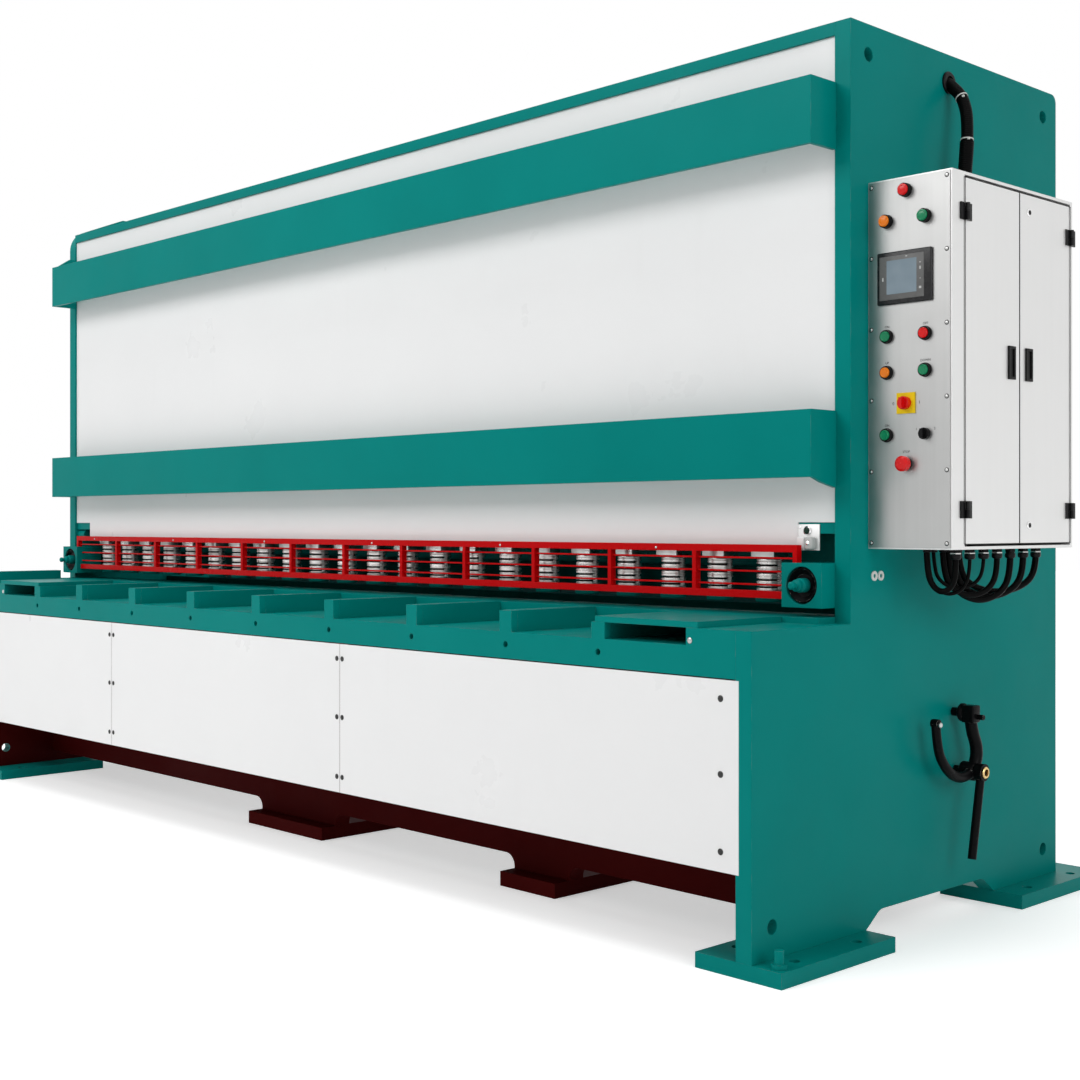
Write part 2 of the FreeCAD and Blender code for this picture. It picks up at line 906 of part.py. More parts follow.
def sensor():
    """The guard's light sensor, on a plate in the front plate's right notch."""
    high = in_right - s.panel_notch_width + s.sensor_plate_width
    low = s.panel_bottom
    plate = box(high - s.sensor_plate_width, panel_front, low, s.sensor_plate_width,
                s.panel_sheet, s.sensor_plate_height)
    block_low = high - s.sensor_plate_width / 2 - s.sensor_block_width
    blocks = [
        box(x, panel_front - s.sensor_block_depth, low, s.sensor_block_width,
            s.sensor_block_depth, s.sensor_block_height)
        for x in (block_low, block_low + s.sensor_block_width)
    ]
    lens = rod(high - s.sensor_plate_width / 2, panel_front,
               low + s.sensor_plate_height - s.sensor_lens_radius * 3 / 2,
               s.sensor_lens_radius, s.sensor_lens_stand, "-y")
    keep("sensor_bracket", fused(plate, *blocks, lens))


# Control cabinet places
cab_front = front + s.cabinet_setback
cab_back = cab_front + s.cabinet_length
cab_low = s.cabinet_bottom
cab_high = cab_low + s.cabinet_height
cab_out = right + s.cabinet_depth
door_inner = cab_out - s.door_thickness
door_low = cab_low + s.door_end_margin
door_high = cab_high - s.door_end_margin
door_front = cab_front + s.door_front_margin
door_back = cab_back - s.door_rear_margin
door_middle = (door_front + door_back) / 2


def cabinet():
    """A folded steel case on the right cheek, open at its two side doors."""
    wall = s.cabinet_wall
    gap = s.door_gap
    inside = s.cabinet_depth - s.door_thickness - s.door_lip - wall
    outer = box(right, cab_front, cab_low, s.cabinet_depth, s.cabinet_length, s.cabinet_height)
    hollow = box(right + wall, cab_front + wall, cab_low + wall, inside,
                 s.cabinet_length - wall * 2, s.cabinet_height - wall * 2)
    mouth = box(right + wall, door_front - gap, door_low - gap, s.cabinet_depth,
                door_back - door_front + gap * 2, door_high - door_low + gap * 2)
    keep("cabinet_shell", without(outer, hollow, mouth))
    margin = s.backplate_margin
    plate = box(right + wall + s.backplate_standoff, cab_front + margin, cab_low + margin,
                s.backplate_thickness, s.cabinet_length - margin * 2, s.cabinet_height - margin * 2)
    studs = [
        rod(right + wall, y, z, s.backplate_stud, s.backplate_standoff, "x")
        for y in (cab_front + margin * 2, cab_back - margin * 2)
        for z in (cab_low + margin * 2, cab_high - margin * 2)
    ]
    keep("mounting_plate", fused(plate, *studs))
    keep("control_panel", box(right + s.panel_margin, cab_front - s.panel_thickness,
                              cab_low + s.panel_margin, s.cabinet_depth - s.panel_margin * 2,
                              s.panel_thickness, s.cabinet_height - s.panel_margin * 2))


def hinge_half(hinge_y, centre_z, way, moving):
    """One half of a hinge: a leaf, half of the knuckle and the web between."""
    radius = s.hinge_radius
    half = s.hinge_height / 2
    start = centre_z + s.hinge_split if moving else centre_z - half
    length = half - s.hinge_split if moving else half
    inner = radius + s.hinge_leaf_gap
    leaf_y = hinge_y + inner if way > 0 else hinge_y - s.hinge_leaf
    web_y = hinge_y if way > 0 else hinge_y - inner
    return [
        rod(cab_out + s.hinge_stand + radius, hinge_y, start, radius, length),
        box(cab_out, leaf_y, centre_z - half, s.hinge_leaf_thickness, s.hinge_leaf - inner, s.hinge_height),
        box(cab_out, web_y, start, s.hinge_leaf_thickness, inner, length),
    ]


def cabinet_doors():
    """Two inset doors on outside hinges, with recessed pulls and key locks."""
    fixed_halves = []
    heights = (door_low + s.hinge_inset, door_high - s.hinge_inset)
    half_gap = s.door_gap / 2
    doors = (
        ("front", door_front, door_middle - half_gap, door_front - half_gap, 1),
        ("rear", door_middle + half_gap, door_back, door_back + half_gap, -1),
    )
    for side, start, end, hinge_y, way in doors:
        panel = box(door_inner, start, door_low, s.door_thickness, end - start, door_high - door_low)
        moving = [piece for z in heights for piece in hinge_half(hinge_y, z, way, True)]
        keep(f"cabinet_door_{side}", fused(panel, *moving))
        fixed_halves += [fused(*hinge_half(hinge_y, z, -way, False)) for z in heights]
        y = door_middle - way * s.handle_setback
        low = cab_low + s.handle_up - s.handle_height / 2
        rim = s.handle_rim
        plate = box(cab_out, y - s.handle_width / 2, low, s.handle_stand, s.handle_width, s.handle_height)
        pull = box(cab_out + s.handle_stand / 3, y - s.handle_width / 2 + rim, low + rim,
                   s.handle_stand, s.handle_width - rim * 2, s.handle_height - rim * 2)
        pieces = [without(plate, pull)]
        if side == "rear":
            pieces += [
                rod(cab_out, y, z, s.lock_radius, s.lock_stand, "x")
                for z in (door_low + s.lock_inset, door_high - s.lock_inset)
            ]
        keep(f"door_handle_{side}", gathered(*pieces))
    keep("door_hinges", gathered(*fixed_halves))


def collar(x, z):
    """A ring screwed on the panel, bored for the stem of its push button."""
    bore = s.cap_radius + s.cap_clearance
    return turned([
        (bore, 0),
        (s.collar_radius, 0),
        (s.collar_radius, s.collar_stand),
        (bore, s.collar_stand),
    ], x, panel_face, z, "-y")


def cap(x, z):
    """A push button's cap, standing clear of the panel by its travel."""
    edge = (s.cap_stand - s.collar_stand) / 4
    return turned([
        (0, s.cap_rest),
        (s.cap_radius, s.cap_rest),
        (s.cap_radius, s.cap_stand - edge),
        (s.cap_radius - edge, s.cap_stand),
        (0, s.cap_stand),
    ], x, panel_face, z, "-y")


panel_face = cab_front - s.panel_thickness


def turn_knob(x, y, z, radius, stand):
    """A round knob with a grip bar across its face."""
    disc = rod(x, y, z, radius, stand / 2, "-y")
    grip = box(x - s.grip_width / 2, y - stand, z - radius * 4 / 5,
               s.grip_width, stand, radius * 8 / 5)
    return fused(disc, grip)


def controls():
    """The operator's panel: screen, lamps, push buttons and switches."""
    column_left = right + s.column_left
    column_middle = right + s.column_middle
    column_right = right + s.column_right
    keep("screen", box(right + s.screen_left, panel_face - s.screen_stand, cab_low + s.screen_up,
                       s.screen_width, s.screen_stand, s.screen_height))
    lamps = (
        (column_middle, cab_low + s.row_lamp),
        (column_left, cab_low + s.row_upper),
        (column_right, cab_low + s.row_upper),
    )
    keep("pilot_lamps", gathered(*[
        turned([
            (0, 0),
            (s.collar_radius, 0),
            (s.collar_radius, s.collar_stand),
            (s.cap_radius, s.collar_stand),
            (s.cap_radius, s.cap_stand),
            (0, s.cap_stand),
        ], x, panel_face, z, "-y")
        for x, z in lamps
    ]))
    buttons = {
        "green_button_upper": (column_left, cab_low + s.row_first),
        "red_button": (column_right, cab_low + s.row_first),
        "orange_button": (column_left, cab_low + s.row_second),
        "green_button_middle": (column_right, cab_low + s.row_second),
        "green_button_lower": (column_left, cab_low + s.row_last),
    }
    stop = (column_middle, cab_low + s.row_stop)
    for label, (x, z) in buttons.items():
        keep(label, cap(x, z))
    keep("button_collars", gathered(*[collar(x, z) for x, z in (*buttons.values(), stop)]))
    neck = s.collar_stand + s.cap_rest
    keep("stop_button", turned([
        (0, s.cap_rest),
        (s.cap_radius, s.cap_rest),
        (s.cap_radius, neck + s.cap_clearance),
        (s.stop_radius, neck + s.cap_clearance),
        (s.stop_radius, s.stop_stand - s.collar_stand),
        (s.cap_radius, s.stop_stand),
        (0, s.stop_stand),
    ], stop[0], panel_face, stop[1], "-y"))
    half = s.switch_plate_size / 2
    switch_up = cab_low + s.row_switch
    keep("switch_plate", box(column_middle - half, panel_face - s.switch_plate_thickness,
                             switch_up - half, s.switch_plate_size,
                             s.switch_plate_thickness, s.switch_plate_size))
    keep("main_switch", turn_knob(column_middle, panel_face - s.switch_plate_thickness - s.turn_gap,
                                  switch_up, s.switch_radius, s.switch_stand))
    keep("selector_switch", turn_knob(column_right, panel_face - s.turn_gap, cab_low + s.row_last,
                                      s.selector_radius, s.selector_stand))


def tube_path(points, radius):
    """A round tube along straight runs joined by tangent arcs."""
    spots = [FreeCAD.Vector(*point) for point in points]
    edges = []
    start = spots[0]
    for before, corner, after in zip(spots, spots[1:], spots[2:]):
        into, out = corner - before, after - corner
        half = into.getAngle(out) / 2
        arc = 0.45 * min(into.Length, out.Length) / math.tan(half)
        reach = arc * math.tan(half)
        into.normalize()
        out.normalize()
        first, last = corner - into * reach, corner + out * reach
        inward = out - into
        inward.normalize()
        centre = corner + inward * (arc / math.cos(half))
        edges.append(Part.LineSegment(start, first).toShape())
        edges.append(Part.Arc(first, centre - inward * arc, last).toShape())
        print("bend radius", round(arc, 1), "in diameters", round(arc / radius / 2, 1))
        start = last
    edges.append(Part.LineSegment(start, spots[-1]).toShape())
    wire = Part.Wire(edges)
    circle = Part.Circle(spots[0], spots[1] - spots[0], radius)
    solid = wire.makePipeShell([Part.Wire([circle.toShape()])], True, False)
    print("volume over section times length", round(solid.Volume / (math.pi * radius ** 2 * wire.Length), 4))
    return solid


def shaped(label, shape):
    item = doc.addObject("Part::Feature", "Shaped")
    item.Shape = shape
    keep(label, item)


# The conduit's way down from the cheek's hole: out from the cheek, back from
# the hole's setback, and down from the hole.
CONDUIT_ROUTE = [
    (-10, 0, -6), (40, -6, 33), (70, -19, 93), (80, -31, 158), (81, -39, 218), (80, -45, 273),
]


def conduit():
    """The corrugated conduit from the cheek's hole into the cabinet's top."""
    hole_y = front + s.conduit_hole_setback
    hole_z = s.frame_height - s.frame_hole_inset
    foot_x = right + s.conduit_foot_left
    foot_y = front + s.conduit_foot_setback
    foot_z = cab_high + s.gland_height
    points = [
        (right.value + out, hole_y.value + back, hole_z.value - down)
        for out, back, down in CONDUIT_ROUTE
    ]
    points.append((foot_x.value, foot_y.value, foot_z.value))
    shaped("conduit", tube_path(points, s.conduit_radius.value))
    sleeve_radius = s.conduit_hole_radius - s.cap_clearance
    keep("conduit_glands", gathered(
        fused(
            rod(in_right, hole_y, hole_z, sleeve_radius, s.frame_plate + s.conduit_flange, "x"),
            rod(right, hole_y, hole_z, s.conduit_flange_radius, s.conduit_flange, "x"),
        ),
        rod(foot_x, foot_y, cab_high, s.conduit_flange_radius * 3 / 4, s.gland_height),
    ))


# The shape that every hanging cable takes: share of its span, share of its sag.
CABLE_SHAPE = [
    (0.02, 0.42), (0.14, 0.78), (0.36, 0.98), (0.62, 1.0), (0.86, 0.8), (0.98, 0.42),
]
# Sag below the glands and radius of each cable, from the front one to the rear one.
CABLES = [(84, 8), (92, 5), (78, 5), (98, 8), (112, 9), (104, 9), (92, 9)]


def cables():
    """Glands under the cabinet and the cables that hang between them."""
    glands = []
    entries = []
    loops = []
    low = cab_low - s.gland_height
    entry_low = cab_low - s.entry_height
    for number, (sag, radius) in enumerate(CABLES):
        x, y = right + s.gland_left, cab_front + s.gland_first + number * s.gland_pitch
        end_x, end_y = right + s.entry_left, cab_front + s.entry_first + number * s.entry_pitch
        glands.append(rod(x, y, low, s.gland_radius, s.gland_height))
        entries.append(rod(end_x, end_y, entry_low, s.entry_radius, s.entry_height))
        start = FreeCAD.Vector(x.value, y.value, low.value)
        span = FreeCAD.Vector(end_x.value, end_y.value, low.value) - start
        points = [tuple(start)]
        for along, drop in CABLE_SHAPE:
            spot = start + span * along
            points.append((spot.x, spot.y, spot.z - sag * drop))
        points.append((end_x.value, end_y.value, entry_low.value))
        loops.append(tube_path(points, radius))
    keep("cable_glands", gathered(*glands, *entries))
    shaped("hanging_cables", Part.Compound(loops))


def lever():
    """The blade gap lever: its bracket, bowed arm and hook, and the hand lever."""
    out = right + s.lever_stand
    bar = s.lever_bar_radius
    core = out + bar
    pivot_y = front + s.lever_pivot_setback
    pivot_z = s.lever_pivot_up
    block_y = front + s.lever_block_setback
    block_z = s.lever_block_up
    half = s.lever_block / 2
    block = box(out - bar / 2, block_y - half, block_z - s.lever_block_height / 2,
                bar * 3, s.lever_block, s.lever_block_height)
    boss = rod(right, block_y, block_z, s.lever_boss_radius, s.lever_stand, "x")
    stem = rod(core, block_y - half - s.lever_knob_length, block_z, bar * 3 / 4, s.lever_knob_length, "y")
    knob = rod(core, block_y - half - s.lever_knob_length, block_z, s.lever_knob_radius,
               s.lever_knob_width, "y")
    joint = rod(out, pivot_y, pivot_z, s.lever_joint_radius, bar * 2, "x")
    pin = rod(out, pivot_y, pivot_z, s.lever_pin_radius,
              bar * 2 + s.turn_gap + s.lever_eye_thickness + s.lever_pin_end, "x")
    bow_angle = math.radians(s.lever_bow_angle.value / 2)
    bow = ring_piece(s.lever_bow_radius, bar, -s.lever_bow_angle.value / 2, s.lever_bow_angle)
    bow_lift = (block_z + pivot_z) / 2
    place(bow, core, pivot_y - s.lever_bow_radius * math.cos(bow_angle), bow_lift, bow.Placement.Rotation)
    hook_y = front + s.lever_hook_setback
    hook_z = pivot_z + s.lever_hook_radius
    hook = ring_piece(s.lever_hook_radius, bar, 180, as_size(90))
    place(hook, core, hook_y + s.lever_hook_radius, hook_z, hook.Placement.Rotation)
    hook_top = rod(core, hook_y, hook_z, bar, s.lever_hook_rise)
    hook_end = rod(core, hook_y + s.lever_hook_radius, pivot_z, bar,
                   pivot_y - hook_y - s.lever_hook_radius, "y")
    stud = rod(right, hook_y, hook_z + s.lever_hook_rise - bar, s.lever_pin_radius, s.lever_stand + bar, "x")
    keep("lever_bracket", fused(block, boss, stem, knob, joint, pin, bow, hook, hook_top, hook_end, stud))
    eye_start = out + bar * 2 + s.turn_gap
    eye = rod(eye_start, pivot_y, pivot_z, s.lever_joint_radius * 4 / 5, s.lever_eye_thickness, "x")
    bore = rod(eye_start, pivot_y, pivot_z, s.lever_pin_radius + s.lever_clearance,
               s.lever_eye_thickness, "x")
    tube = doc.addObject("Part::Cylinder", "Tube")
    bind(tube, "Radius", s.lever_tube_radius)
    bind(tube, "Height", s.lever_tube_length)
    tilt = FreeCAD.Rotation(FreeCAD.Vector(1, 0, 0), 180 - s.lever_tilt.value)
    place(tube, eye_start + s.lever_eye_thickness / 2, pivot_y, pivot_z, tilt)
    keep("gap_lever", without(fused(eye, tube), bore))


def ring_piece(ring_radius, tube_radius, start_angle, sweep):
    """Part of a ring that stands across X, from an angle above +Y, by a sweep."""
    ring = doc.addObject("Part::Torus", "Bow")
    bind(ring, "Radius1", ring_radius)
    bind(ring, "Radius2", tube_radius)
    bind(ring, "Angle3", sweep)
    turn = math.radians(start_angle)
    ring.Placement.Rotation = FreeCAD.Rotation(
        FreeCAD.Vector(0, math.cos(turn), math.sin(turn)),
        FreeCAD.Vector(0, -math.sin(turn), math.cos(turn)),
        FreeCAD.Vector(1, 0, 0), "XYZ",
    )
    return ring


def rear_side():
    """What such a machine has behind: tie beams, rams, oil tank, back gauge."""
    beam_y = rear - s.rear_beam_inset
    high_beam = s.frame_height - s.rear_beam_drop
    keep("rear_beams", gathered(*[
        box(in_left, beam_y, z, inner_length, s.rear_beam_thickness, s.rear_beam_height)
        for z in (s.rear_beam_low, high_beam)
    ]))
    ram_y = front + s.ram_setback
    ram_low = under_top - s.ram_length
    lug_front = shear_line + s.blade_gap + s.blade_thickness + s.knife_beam_thickness
    lug_z = beam_top - s.ram_lug_drop
    cylinders = []
    rods = []
    for x in (right - s.ram_inset, left + s.ram_inset):
        cylinders.append(rod(x, ram_y, ram_low, s.ram_radius, s.ram_length))
        rods.append(fused(
            box(x - s.ram_radius, lug_front, lug_z, s.ram_radius * 2,
                ram_y - lug_front + s.ram_radius, s.ram_lug_height),
            rod(x, ram_y, lug_z, s.ram_rod_radius, ram_low - lug_z),
        ))
    keep("ram_cylinders", gathered(*cylinders))
    keep("ram_rods", gathered(*rods))
    tank_y = beam_y - s.tank_depth
    tank_top = high_beam + s.tank_lap
    keep("oil_tank", box(middle - s.tank_length / 2, tank_y, tank_top - s.tank_height,
                         s.tank_length, s.tank_depth, s.tank_height))
    motor_y = tank_y + s.tank_depth / 2
    keep("pump_motor", fused(
        rod(middle, motor_y, tank_top, s.motor_foot_radius, s.motor_rise),
        rod(middle - s.motor_length / 2, motor_y, tank_top + s.motor_rise,
            s.motor_radius, s.motor_length, "x"),
    ))
    slide_z = bolster_base - s.bed_head_height
    slides = []
    for x in (right - s.gauge_slide_inset, left + s.gauge_slide_inset - s.gauge_slide_width):
        slides.append(fused(
            box(x, bolster_back, slide_z, s.gauge_slide_width, s.gauge_slide_length, s.bed_head_height),
            box(x, front + s.gauge_setback + s.gauge_bar_thickness, slide_z, s.gauge_slide_width,
                s.gauge_post_depth, table_top - slide_z + s.gauge_bar_height / 2),
        ))
    keep("back_gauge_slides", gathered(*slides))
    keep("back_gauge_bar", box(in_left + s.gauge_bar_end_inset, front + s.gauge_setback,
                               table_top - s.table_rise, inner_length - 2 * s.gauge_bar_end_inset,
                               s.gauge_bar_thickness, s.gauge_bar_height))


side_frame("side_frame_right", in_right, False)
side_frame("side_frame_left", left, True)
foot_plates()
levelling_screws()
bed()
table()
covers()
upper_front()
rail("upper_rail", s.frame_height - s.upper_rail_drop, s.upper_rail_flare, as_size(0))
rail("lower_rail", s.lower_rail_bottom, as_size(0), s.lower_rail_flare)
knives()
hold_downs()
finger_guard()
end_housings()
sensor()
cabinet()
cabinet_doors()
controls()
conduit()
cables()
lever()
rear_side()

doc.recompute()
faults = []
for item in doc.Objects:
    if "Invalid" in item.State or "Error" in item.State:
        faults.append(f"{item.Label}: {item.State}")
for item in kept:
    if item.Shape.isNull() or not item.Shape.isValid() or not item.Shape.Solids:
        faults.append(f"{item.Label}: shape not sound")
if faults:
    raise RuntimeError("\n".join(faults))
for item in kept:
    item.Shape.exportStep(f"parts/{item.Label}.step")
print(len(kept), "nodes written")
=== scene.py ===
import math

import bmesh
import bpy
from mathutils import Matrix, Vector


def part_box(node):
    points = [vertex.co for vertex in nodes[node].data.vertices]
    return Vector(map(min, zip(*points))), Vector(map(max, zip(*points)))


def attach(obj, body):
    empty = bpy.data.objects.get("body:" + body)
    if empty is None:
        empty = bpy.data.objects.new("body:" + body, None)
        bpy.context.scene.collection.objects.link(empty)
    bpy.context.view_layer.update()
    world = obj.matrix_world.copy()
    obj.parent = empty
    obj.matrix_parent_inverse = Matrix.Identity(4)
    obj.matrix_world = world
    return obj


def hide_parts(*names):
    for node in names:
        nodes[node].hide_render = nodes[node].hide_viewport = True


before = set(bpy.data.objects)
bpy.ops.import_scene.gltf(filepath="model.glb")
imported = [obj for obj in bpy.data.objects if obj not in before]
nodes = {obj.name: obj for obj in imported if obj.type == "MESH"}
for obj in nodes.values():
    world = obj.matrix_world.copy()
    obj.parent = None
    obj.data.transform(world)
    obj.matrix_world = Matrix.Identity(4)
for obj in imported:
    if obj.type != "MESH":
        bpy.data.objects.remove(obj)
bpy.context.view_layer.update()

# Hydraulic guillotine shear, dressed. Metres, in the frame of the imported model.

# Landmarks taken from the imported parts
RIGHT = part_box("side_frame_right")[1].x
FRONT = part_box("side_frame_right")[0].y
PANEL_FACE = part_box("control_panel")[0].y
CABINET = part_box("cabinet_shell")
COVER_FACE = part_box("front_covers")[0].y


def at(x, y, z):
    """A place in millimetres from the right cheek's outer face, its front edge and the floor."""
    return Vector((RIGHT + x / 1000, FRONT + y / 1000, z / 1000))


# Helpers for objects and nodes

def placed(name, data):
    """A new object in the scene that shows the data."""
    item = bpy.data.objects.new(name, data)
    bpy.context.scene.collection.objects.link(item)
    return item


def middle(node):
    """The middle of a node's box."""
    low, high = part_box(node)
    return (low + high) / 2


def add_node(tree, kind, **settings):
    """Adds a shader node and sets its options and its sockets by name."""
    item = tree.nodes.new("ShaderNode" + kind)
    for name, value in settings.items():
        if hasattr(item, name):
            setattr(item, name, value)
        else:
            item.inputs[name.replace("_", " ").title()].default_value = value
    return item


def seen_ray(tree):
    """One where the camera, a reflection or glass sees the surface directly."""
    path = add_node(tree, "LightPath")
    seen = path.outputs["Is Camera Ray"]
    for ray in ("Is Glossy Ray", "Is Transmission Ray"):
        either = add_node(tree, "Math", operation="MAXIMUM")
        tree.links.new(seen, either.inputs[0])
        tree.links.new(path.outputs[ray], either.inputs[1])
        seen = either.outputs[0]
    return seen


# Camera and light

LENS = 51.90
CAMERA_PLACE = at(2371.9, -2975.6, 1111.7)
CAMERA_TILT = math.radians(90)
CAMERA_TURN = math.radians(46.3)
CAMERA_SHIFT = -0.0152
SENSOR_WIDTH = 36

# The white studio: its light on the machine, and the floor's fade to white over a distance in metres
AMBIENT = 0.42
FLOOR_HALF = 30
FADE_START, FADE_END = 3.0, 9.0
GLOW_NEAR, GLOW_FAR = 0.42, 0.8


def camera():
    """A level camera to the front and right of the machine, at the photograph's angle."""
    data = bpy.data.cameras.new("camera")
    data.lens = LENS
    data.sensor_width = SENSOR_WIDTH
    data.shift_y = CAMERA_SHIFT
    data.clip_end = 100
    item = placed("camera", data)
    item.location = CAMERA_PLACE
    item.rotation_euler = (CAMERA_TILT, 0, CAMERA_TURN)
    bpy.context.scene.camera = item


def lamp(name, place, aim, width, height, power):
    """A soft rectangular lamp that faces a point."""
    data = bpy.data.lights.new(name, "AREA")
    data.shape = "RECTANGLE"
    data.size = width
    data.size_y = height
    data.energy = power
    item = placed(name, data)
    item.location = place
    item.rotation_euler = (Vector(aim) - Vector(place)).to_track_quat("-Z", "Y").to_euler()


def lighting():
    """Four large soft lamps and a world that is white where it is seen and dimmer where it lights."""
    lamp("key", (-1.5, -6.5, 5.5), (0, 0, 1.0), 5.0, 3.0, 250)
    lamp("side", (7.5, -1.5, 3.2), (2.0, 0, 1.2), 3.0, 3.5, 95)
    lamp("top", (0, -0.5, 6.5), (0, 0, 1), 7.0, 4.0, 160)
    lamp("back", (-1.0, 6.0, 4.5), (0, 0, 1.2), 5.0, 3.0, 120)
    world = bpy.data.worlds.new("studio")
    world.use_nodes = True
    bpy.context.scene.world = world
    tree = world.node_tree
    shade = tree.nodes["Background"]
    shade.inputs["Color"].default_value = (1, 1, 1, 1)
    seen = seen_ray(tree)
    strength = add_node(tree, "MapRange", to_min=AMBIENT, to_max=1.0)
    tree.links.new(seen, strength.inputs["Value"])
    tree.links.new(strength.outputs["Result"], shade.inputs["Strength"])


def floor():
    """A plain white floor that keeps the machine's shadow and fades to white further out."""
    bm = bmesh.new()
    bmesh.ops.create_grid(bm, x_segments=1, y_segments=1, size=FLOOR_HALF)
    item = mesh_object("floor", bm, None)
    mat = bpy.data.materials.new("floor_white")
    mat.use_nodes = True
    tree = mat.node_tree
    link = tree.links.new
    bsdf = tree.nodes["Principled BSDF"]
    bsdf.inputs["Base Color"].default_value = (0.93, 0.93, 0.93, 1)
    bsdf.inputs["Roughness"].default_value = 0.7
    bsdf.inputs["Specular IOR Level"].default_value = 0.0
    place = add_node(tree, "TexCoord")
    away = add_node(tree, "VectorMath", operation="LENGTH")
    link(place.outputs["Object"], away.inputs[0])
    paler = add_node(tree, "MapRange", from_min=FADE_START, from_max=FADE_END,
                     to_min=GLOW_NEAR, to_max=GLOW_FAR)
    link(away.outputs["Value"], paler.inputs["Value"])
    glow = add_node(tree, "Emission")
    lit = add_node(tree, "Math", operation="MULTIPLY")
    link(paler.outputs["Result"], lit.inputs[1])
    link(seen_ray(tree), lit.inputs[0])
    link(lit.outputs[0], glow.inputs["Strength"])
    both = add_node(tree, "AddShader")
    link(bsdf.outputs[0], both.inputs[0])
    link(glow.outputs[0], both.inputs[1])
    link(both.outputs[0], tree.nodes["Material Output"].inputs["Surface"])
    item.data.materials.append(mat)


# Materials

# Sockets of the Mix node in its colour mode
MIX_UNDER, MIX_OVER, MIX_RESULT = 6, 7, 2
BEVEL_SAMPLES = 3
NOISE_ROUGHNESS = 0.55


class Finish:
    """One procedural material under construction."""

    def __init__(self, name, colour, rough, metal=0.0, gloss=0.5, round_over=0.0):
        self.mat = bpy.data.materials.new(name)
        self.mat.use_nodes = True
        self.tree = self.mat.node_tree
        self.bsdf = self.tree.nodes["Principled BSDF"]
        self.set("Base Color", (*colour, 1))
        self.set("Roughness", rough)
        self.set("Metallic", metal)
        self.set("Specular IOR Level", gloss)
        self.base = colour
        self.colour = None
        self.height = None
        self.place = add_node(self.tree, "TexCoord").outputs["Object"]
        self.rounded = None
        if round_over:
            bevel = add_node(self.tree, "Bevel", samples=BEVEL_SAMPLES, radius=round_over)
            self.rounded = bevel.outputs[0]

    def set(self, socket, value):
        """Sets one of the shader's own sockets."""
        self.bsdf.inputs[socket].default_value = value

    def link(self, source, target):
        self.tree.links.new(source, target)

    def noise(self, scale, detail=4.0, stretch=(1, 1, 1)):
        """Fractal noise over the part's own coordinates, from 0 to 1."""
        spread = add_node(self.tree, "Mapping", scale=stretch)
        self.link(self.place, spread.inputs["Vector"])
        item = add_node(self.tree, "TexNoise", scale=scale, detail=detail, roughness=NOISE_ROUGHNESS)
        self.link(spread.outputs[0], item.inputs["Vector"])
        return item.outputs["Fac"]

    def ramp(self, source, low, high, start=0.0, end=1.0):
        """Source brought from its low..high to start..end, clamped."""
        item = add_node(self.tree, "MapRange", from_min=low, from_max=high, to_min=start, to_max=end)
        self.link(source, item.inputs["Value"])
        return item.outputs["Result"]

    def math(self, operation, first, second):
        """One arithmetic step on sockets or numbers."""
        item = add_node(self.tree, "Math", operation=operation)
        for socket, value in zip(item.inputs, (first, second)):
            if isinstance(value, (int, float)):
                socket.default_value = value
            else:
                self.link(value, socket)
        return item.outputs[0]

    def along(self, axis):
        """The part's own coordinate along X, Y or Z, in metres."""
        split = add_node(self.tree, "SeparateXYZ")
        self.link(self.place, split.inputs[0])
        return split.outputs[axis]

    def facing(self, axis):
        """How far the surface faces along +X, +Y or +Z."""
        surface = add_node(self.tree, "NewGeometry")
        split = add_node(self.tree, "SeparateXYZ")
        self.link(surface.outputs["Normal"], split.inputs[0])
        return split.outputs[axis]

    def tint(self, factor, colour):
        """Mixes a colour over what is there, by a factor socket."""
        item = add_node(self.tree, "Mix", data_type="RGBA")
        self.link(factor, item.inputs[0])
        if self.colour is None:
            item.inputs[MIX_UNDER].default_value = (*self.base, 1)
        else:
            self.link(self.colour, item.inputs[MIX_UNDER])
        item.inputs[MIX_OVER].default_value = (*colour, 1)
        self.colour = item.outputs[MIX_RESULT]

    def mottle(self, colour, scale, amount, **options):
        """Cloudy colour variation."""
        self.tint(self.ramp(self.noise(scale, **options), 0.35, 0.75, 0, amount), colour)

    def wear(self, colour, amount=0.6, scale=14, reach=0.02):
        """Broken chips and rub marks where the surface turns a corner."""
        flat = add_node(self.tree, "NewGeometry")
        dot = add_node(self.tree, "VectorMath", operation="DOT_PRODUCT")
        self.link(self.rounded, dot.inputs[0])
        self.link(flat.outputs["Normal"], dot.inputs[1])
        edge = self.ramp(dot.outputs["Value"], 1.0 - reach * 5, 1.0 - reach, 1, 0)
        patches = self.ramp(self.noise(scale, detail=8), 0.5, 0.62)
        self.tint(self.math("MULTIPLY", self.math("MULTIPLY", edge, patches), amount), colour)

    def relief(self, source, depth):
        """Adds a height in metres to the surface's bump."""
        scaled = self.math("MULTIPLY", source, depth)
        self.height = scaled if self.height is None else self.math("ADD", self.height, scaled)

    def uneven(self, source, low, high):
        """Roughness that runs between two values."""
        self.link(self.ramp(source, 0.3, 0.7, low, high), self.bsdf.inputs["Roughness"])

    def done(self):
        """Wires colour, bump and rounded edges to the shader, and gives the material."""
        if self.colour is not None:
            self.link(self.colour, self.bsdf.inputs["Base Color"])
        normal = self.rounded
        if self.height is not None:
            bump = add_node(self.tree, "Bump", distance=1.0, strength=1.0)
            self.link(self.height, bump.inputs["Height"])
            if normal is not None:
                self.link(normal, bump.inputs["Normal"])
            normal = bump.outputs[0]
        if normal is not None:
            self.link(normal, self.bsdf.inputs["Normal"])
        return self.mat


